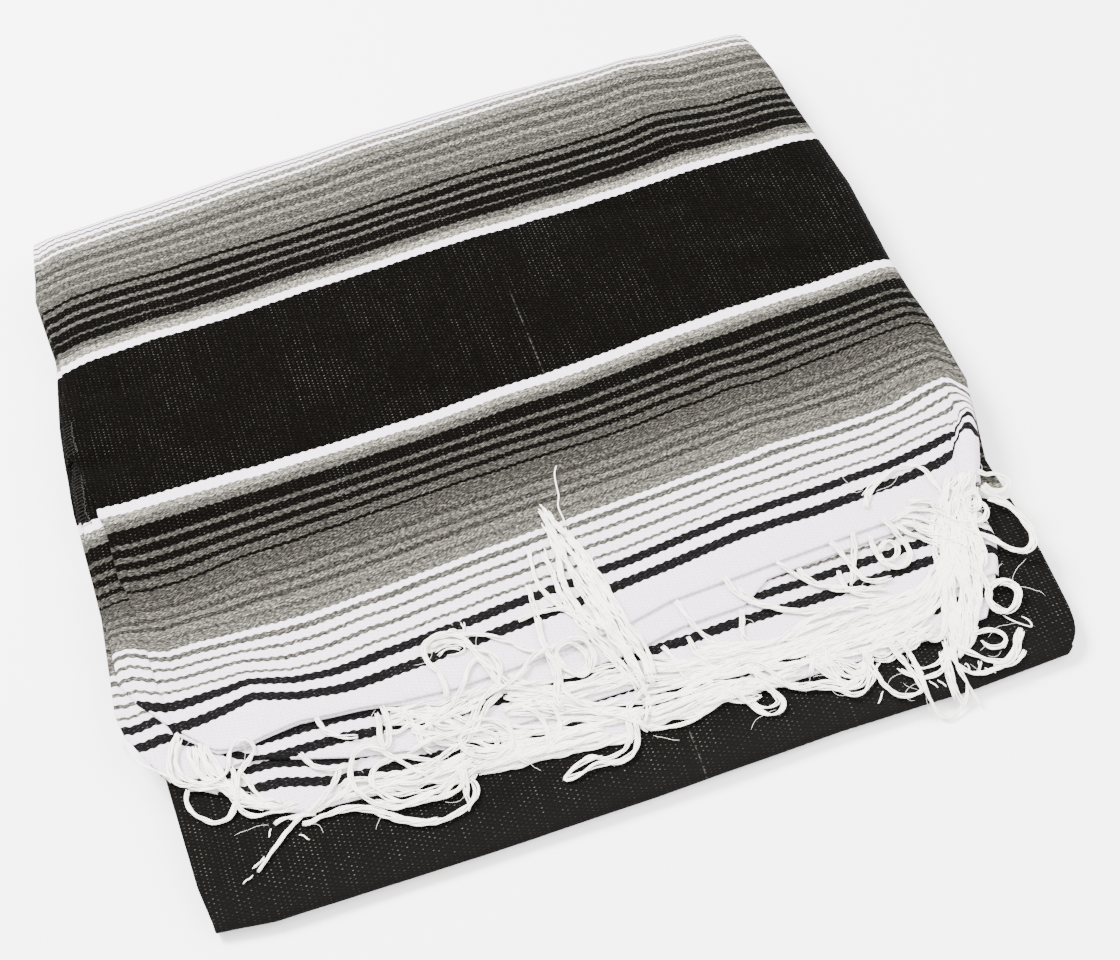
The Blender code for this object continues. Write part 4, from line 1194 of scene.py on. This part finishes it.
# Sheaves: a number of bundles that fill the space between two ways, given as points of the picture
SHEAVES = {
    "fringe_top": (
        (10, ((700, 643), (740, 646), (780, 640), (820, 614), (860, 603), (900, 598), (930, 584), (946, 560),
          (950, 530)),
         ((690, 662), (740, 658), (790, 655), (840, 645), (890, 634), (926, 618), (944, 590), (956, 560),
          (966, 535))),
        (11, ((940, 500), (938, 530), (936, 560), (940, 590), (945, 620), (947, 650)),
         ((976, 482), (976, 515), (980, 545), (984, 575), (980, 605), (974, 645))),
        (8, ((640, 655), (680, 662), (720, 657), (770, 643), (820, 628), (870, 614), (915, 600)),
         ((640, 702), (690, 690), (740, 676), (790, 668), (840, 660), (890, 645), (935, 620))),
        (6, ((950, 474), (946, 486), (942, 498), (935, 515), (930, 540)),
         ((978, 472), (974, 486), (968, 502), (962, 525), (960, 550))),
        (5, ((900, 508), (925, 508), (945, 520), (962, 540), (975, 562), (985, 580)),
         ((890, 530), (915, 540), (940, 556), (955, 575), (965, 600), (972, 625))),
        (5, ((385, 712), (410, 706), (440, 700), (470, 690), (492, 682)),
         ((380, 735), (410, 732), (440, 726), (465, 714), (490, 700))),
    ),
    "fringe_second": (
        (8, ((505, 672), (530, 682), (560, 692), (590, 702), (622, 706), (650, 704)),
         ((500, 735), (530, 734), (560, 730), (590, 726), (622, 722), (650, 718))),
        (5, ((655, 662), (690, 664), (730, 660), (770, 652), (810, 648), (850, 640)),
         ((655, 690), (690, 684), (730, 678), (770, 668), (810, 662), (850, 652))),
        (6, ((860, 600), (890, 596), (915, 588), (935, 570), (944, 548)),
         ((880, 640), (905, 632), (928, 618), (946, 600), (955, 572))),
        (5, ((425, 700), (450, 712), (475, 722), (505, 728), (535, 728)),
         ((405, 735), (435, 745), (465, 752), (500, 755), (535, 748))),
        (5, ((505, 686), (530, 684), (555, 680), (580, 676), (600, 668), (620, 662)),
         ((510, 710), (540, 706), (570, 700), (600, 692), (630, 686), (650, 680))),
    ),
    "fringe_third": (
        (7, ((370, 775), (400, 768), (430, 762), (455, 754), (480, 748)),
         ((372, 800), (400, 805), (430, 800), (456, 790), (480, 772))),
        (3, ((335, 790), (350, 782), (370, 776), (405, 772)),
         ((340, 806), (352, 800), (372, 796), (400, 794))),
        (6, ((640, 705), (690, 690), (730, 684), (770, 676), (805, 668)),
         ((650, 724), (690, 708), (725, 696), (765, 690), (800, 684))),
        (5, ((870, 640), (895, 638), (920, 632), (942, 622)),
         ((868, 660), (890, 660), (905, 650), (925, 642))),
        (6, ((795, 660), (815, 668), (830, 680), (846, 688), (862, 680), (872, 662)),
         ((815, 650), (832, 656), (846, 662), (856, 668), (866, 660), (872, 648))),
        (5, ((480, 740), (510, 738), (540, 733), (575, 728), (610, 724)),
         ((480, 768), (510, 760), (545, 752), (580, 745), (615, 738))),
    ),
    "fringe_fourth": (
        (7, ((470, 765), (520, 752), (560, 746), (600, 740), (640, 732)),
         ((480, 776), (530, 765), (565, 757), (600, 747), (640, 738))),
        (6, ((942, 600), (947, 620), (950, 640), (948, 665)),
         ((970, 600), (976, 618), (974, 636), (962, 660))),
        (5, ((210, 740), (216, 760), (224, 775), (236, 788), (256, 800), (285, 806)),
         ((188, 745), (190, 765), (200, 780), (222, 792), (246, 806), (280, 812))),
        (4, ((640, 725), (680, 715), (720, 700), (760, 692)),
         ((650, 733), (690, 720), (725, 704), (765, 697))),
    ),
}

# Fine loose threads of each fringe
HAIRS = {"fringe_top": 20, "fringe_second": 22, "fringe_third": 24, "fringe_fourth": 22, "fringe_lock": 6}


def between_ways(a, b, share):
    """A way between two others."""
    a, b = curve([(*p, 0.0) for p in a], 9), curve([(*p, 0.0) for p in b], 9)
    return [(p[0] + (q[0] - p[0]) * share, p[1] + (q[1] - p[1]) * share) for p, q in zip(a, b)]


def hair(spots):
    """A fine loose thread that leaves a bundle and curls beside it."""
    u, v = spots[rng.randrange(len(spots))]
    turn, curl = rng.uniform(0.0, 2.0 * math.pi), rng.uniform(-0.55, 0.55)
    way = [(u, v)]
    for _ in range(rng.randrange(5, 10)):
        u, v = u + 5.0 * math.cos(turn), v + 4.0 * math.sin(turn)
        way.append((u, v))
        turn, curl = turn + curl, curl + rng.uniform(-0.15, 0.15)
    return lay(way, rng.uniform(1.5, 4.0))


for node, ways in WAYS.items():
    store = ([], [])
    for threads, lift, *spots in ways:
        bundle(lay(spots, lift), store, threads, 0.3 + 0.22 * threads if threads > 1 else 0.3)
    for number, way_a, way_b in SHEAVES.get(node, ()):
        for k in range(number):
            share = (k + rng.uniform(0.2, 0.8)) / number
            way = between_ways(way_a, way_b, share)
            way = [(u + rng.uniform(-3.0, 3.0), v + rng.uniform(-3.0, 3.0)) for u, v in way]
            bundle(lay(way, rng.uniform(0.3, 1.2), 2.3), store, 6, 1.5)
    for _ in range(HAIRS[node]):
        bundle(hair(rng.choice(ways)[2:]), store, 1, 0.2, thread=0.09, sides=3)
    PIECES.append((add_mesh("Serape_" + node.title(), np.concatenate(store[0]), store[1], YARN_LOOK), node))

# ---------------------------------------------------------------- the overlocked selvedge

STITCH = 2.6         # from one stitch to the next
STITCH_WIDTH = 6.0
STITCH_THREAD = 0.2


def overlock(edge, level, start, end, store):
    """Stitches round a selvedge at the left, and the chain along their inner ends."""
    chain = []
    y = start
    while y > end:
        x = float(lookup(edge, y))
        reach = 0.4 + 0.7 * abs(math.sin(y / 4.7)) + rng.uniform(0.0, 0.3)
        width = STITCH_WIDTH + rng.uniform(-0.5, 0.5)
        lean = rng.uniform(0.2, 0.9)

        def on_cloth(inward, rise, forward):
            z = float(height(max(x + inward, x), y)) - level * PLY
            return (x + inward, y + forward, z + rise)
        way = [on_cloth(width, 0.1, lean), on_cloth(0.6 * width, 0.35, 0.5 * lean), on_cloth(0.8, 0.3, 0.0),
               on_cloth(-reach, -0.7, -0.2), on_cloth(-0.3, -1.9, -0.4)]
        tube_mesh(curve(way, 9), STITCH_THREAD, 4, store)
        chain.append(on_cloth(width, 0.3, lean))
        chain.append(on_cloth(width - 0.8, 0.4, lean - 0.5 * STITCH))
        y -= STITCH + rng.uniform(-0.3, 0.3)
    tube_mesh(curve(chain, 4 * len(chain)), STITCH_THREAD, 4, store)


STITCHES = []
for name, edge, level, start, end in (("Serape_Overlock_Top", LEFT_TOP, 0, 93.0, 69.0),
                                      ("Serape_Overlock_Second", LEFT_SECOND, 1, 64.0, 14.0)):
    store = ([], [])
    overlock(edge, level, start, end, store)
    stitches = add_mesh(name, np.concatenate(store[0]), store[1], THREAD_LOOK)
    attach(stitches, "root")
    STITCHES.append(stitches)

# ---------------------------------------------------------------- declarations

for piece, node in PIECES:
    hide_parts(node)
    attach(piece, "root")

# ---------------------------------------------------------------- floor, light and camera

mesh = bpy.data.meshes.new("floor")
mesh.from_pydata([(-3, -3, 0), (3, -3, 0), (3, 3, 0), (-3, 3, 0)], [], [(0, 1, 2, 3)])
paint = bpy.data.materials.new("floor")
paint.use_nodes = True
paint.node_tree.nodes["Principled BSDF"].inputs["Base Color"].default_value = (0.93, 0.93, 0.93, 1.0)
paint.node_tree.nodes["Principled BSDF"].inputs["Roughness"].default_value = 0.9
mesh.materials.append(paint)
floor = link("Floor", mesh)


def area_light(name, place, size, power):
    """A square light that points at the middle of the floor."""
    light = bpy.data.lights.new(name, "AREA")
    light.energy = power
    light.size = size
    holder = link(name, light)
    holder.location = place
    x, y, z = place
    holder.rotation_euler = (math.atan2(math.hypot(x, y), z), 0.0, math.atan2(x, -y))


area_light("Key", (-0.9, 0.9, 1.8), 0.9, 225.0)
area_light("Fill", (1.2, -0.8, 1.6), 1.6, 80.0)
world = bpy.data.worlds.new("World")
bpy.context.scene.world = world
world.use_nodes = True
world.node_tree.nodes["Background"].inputs["Color"].default_value = (1.0, 1.0, 1.0, 1.0)
world.node_tree.nodes["Background"].inputs["Strength"].default_value = 2.5

camera = bpy.data.cameras.new("Camera")
camera.lens = FOCAL / PHOTO[0] * SENSOR
camera.sensor_width = SENSOR
camera.sensor_fit = "HORIZONTAL"
holder = link("Camera", camera)
holder.location = to_part(CAMERA_PLACE)
holder.rotation_euler = [math.radians(value) for value in CAMERA_TURN]
bpy.context.scene.camera = holder

shown = [piece for piece, _ in PIECES] + STITCHES
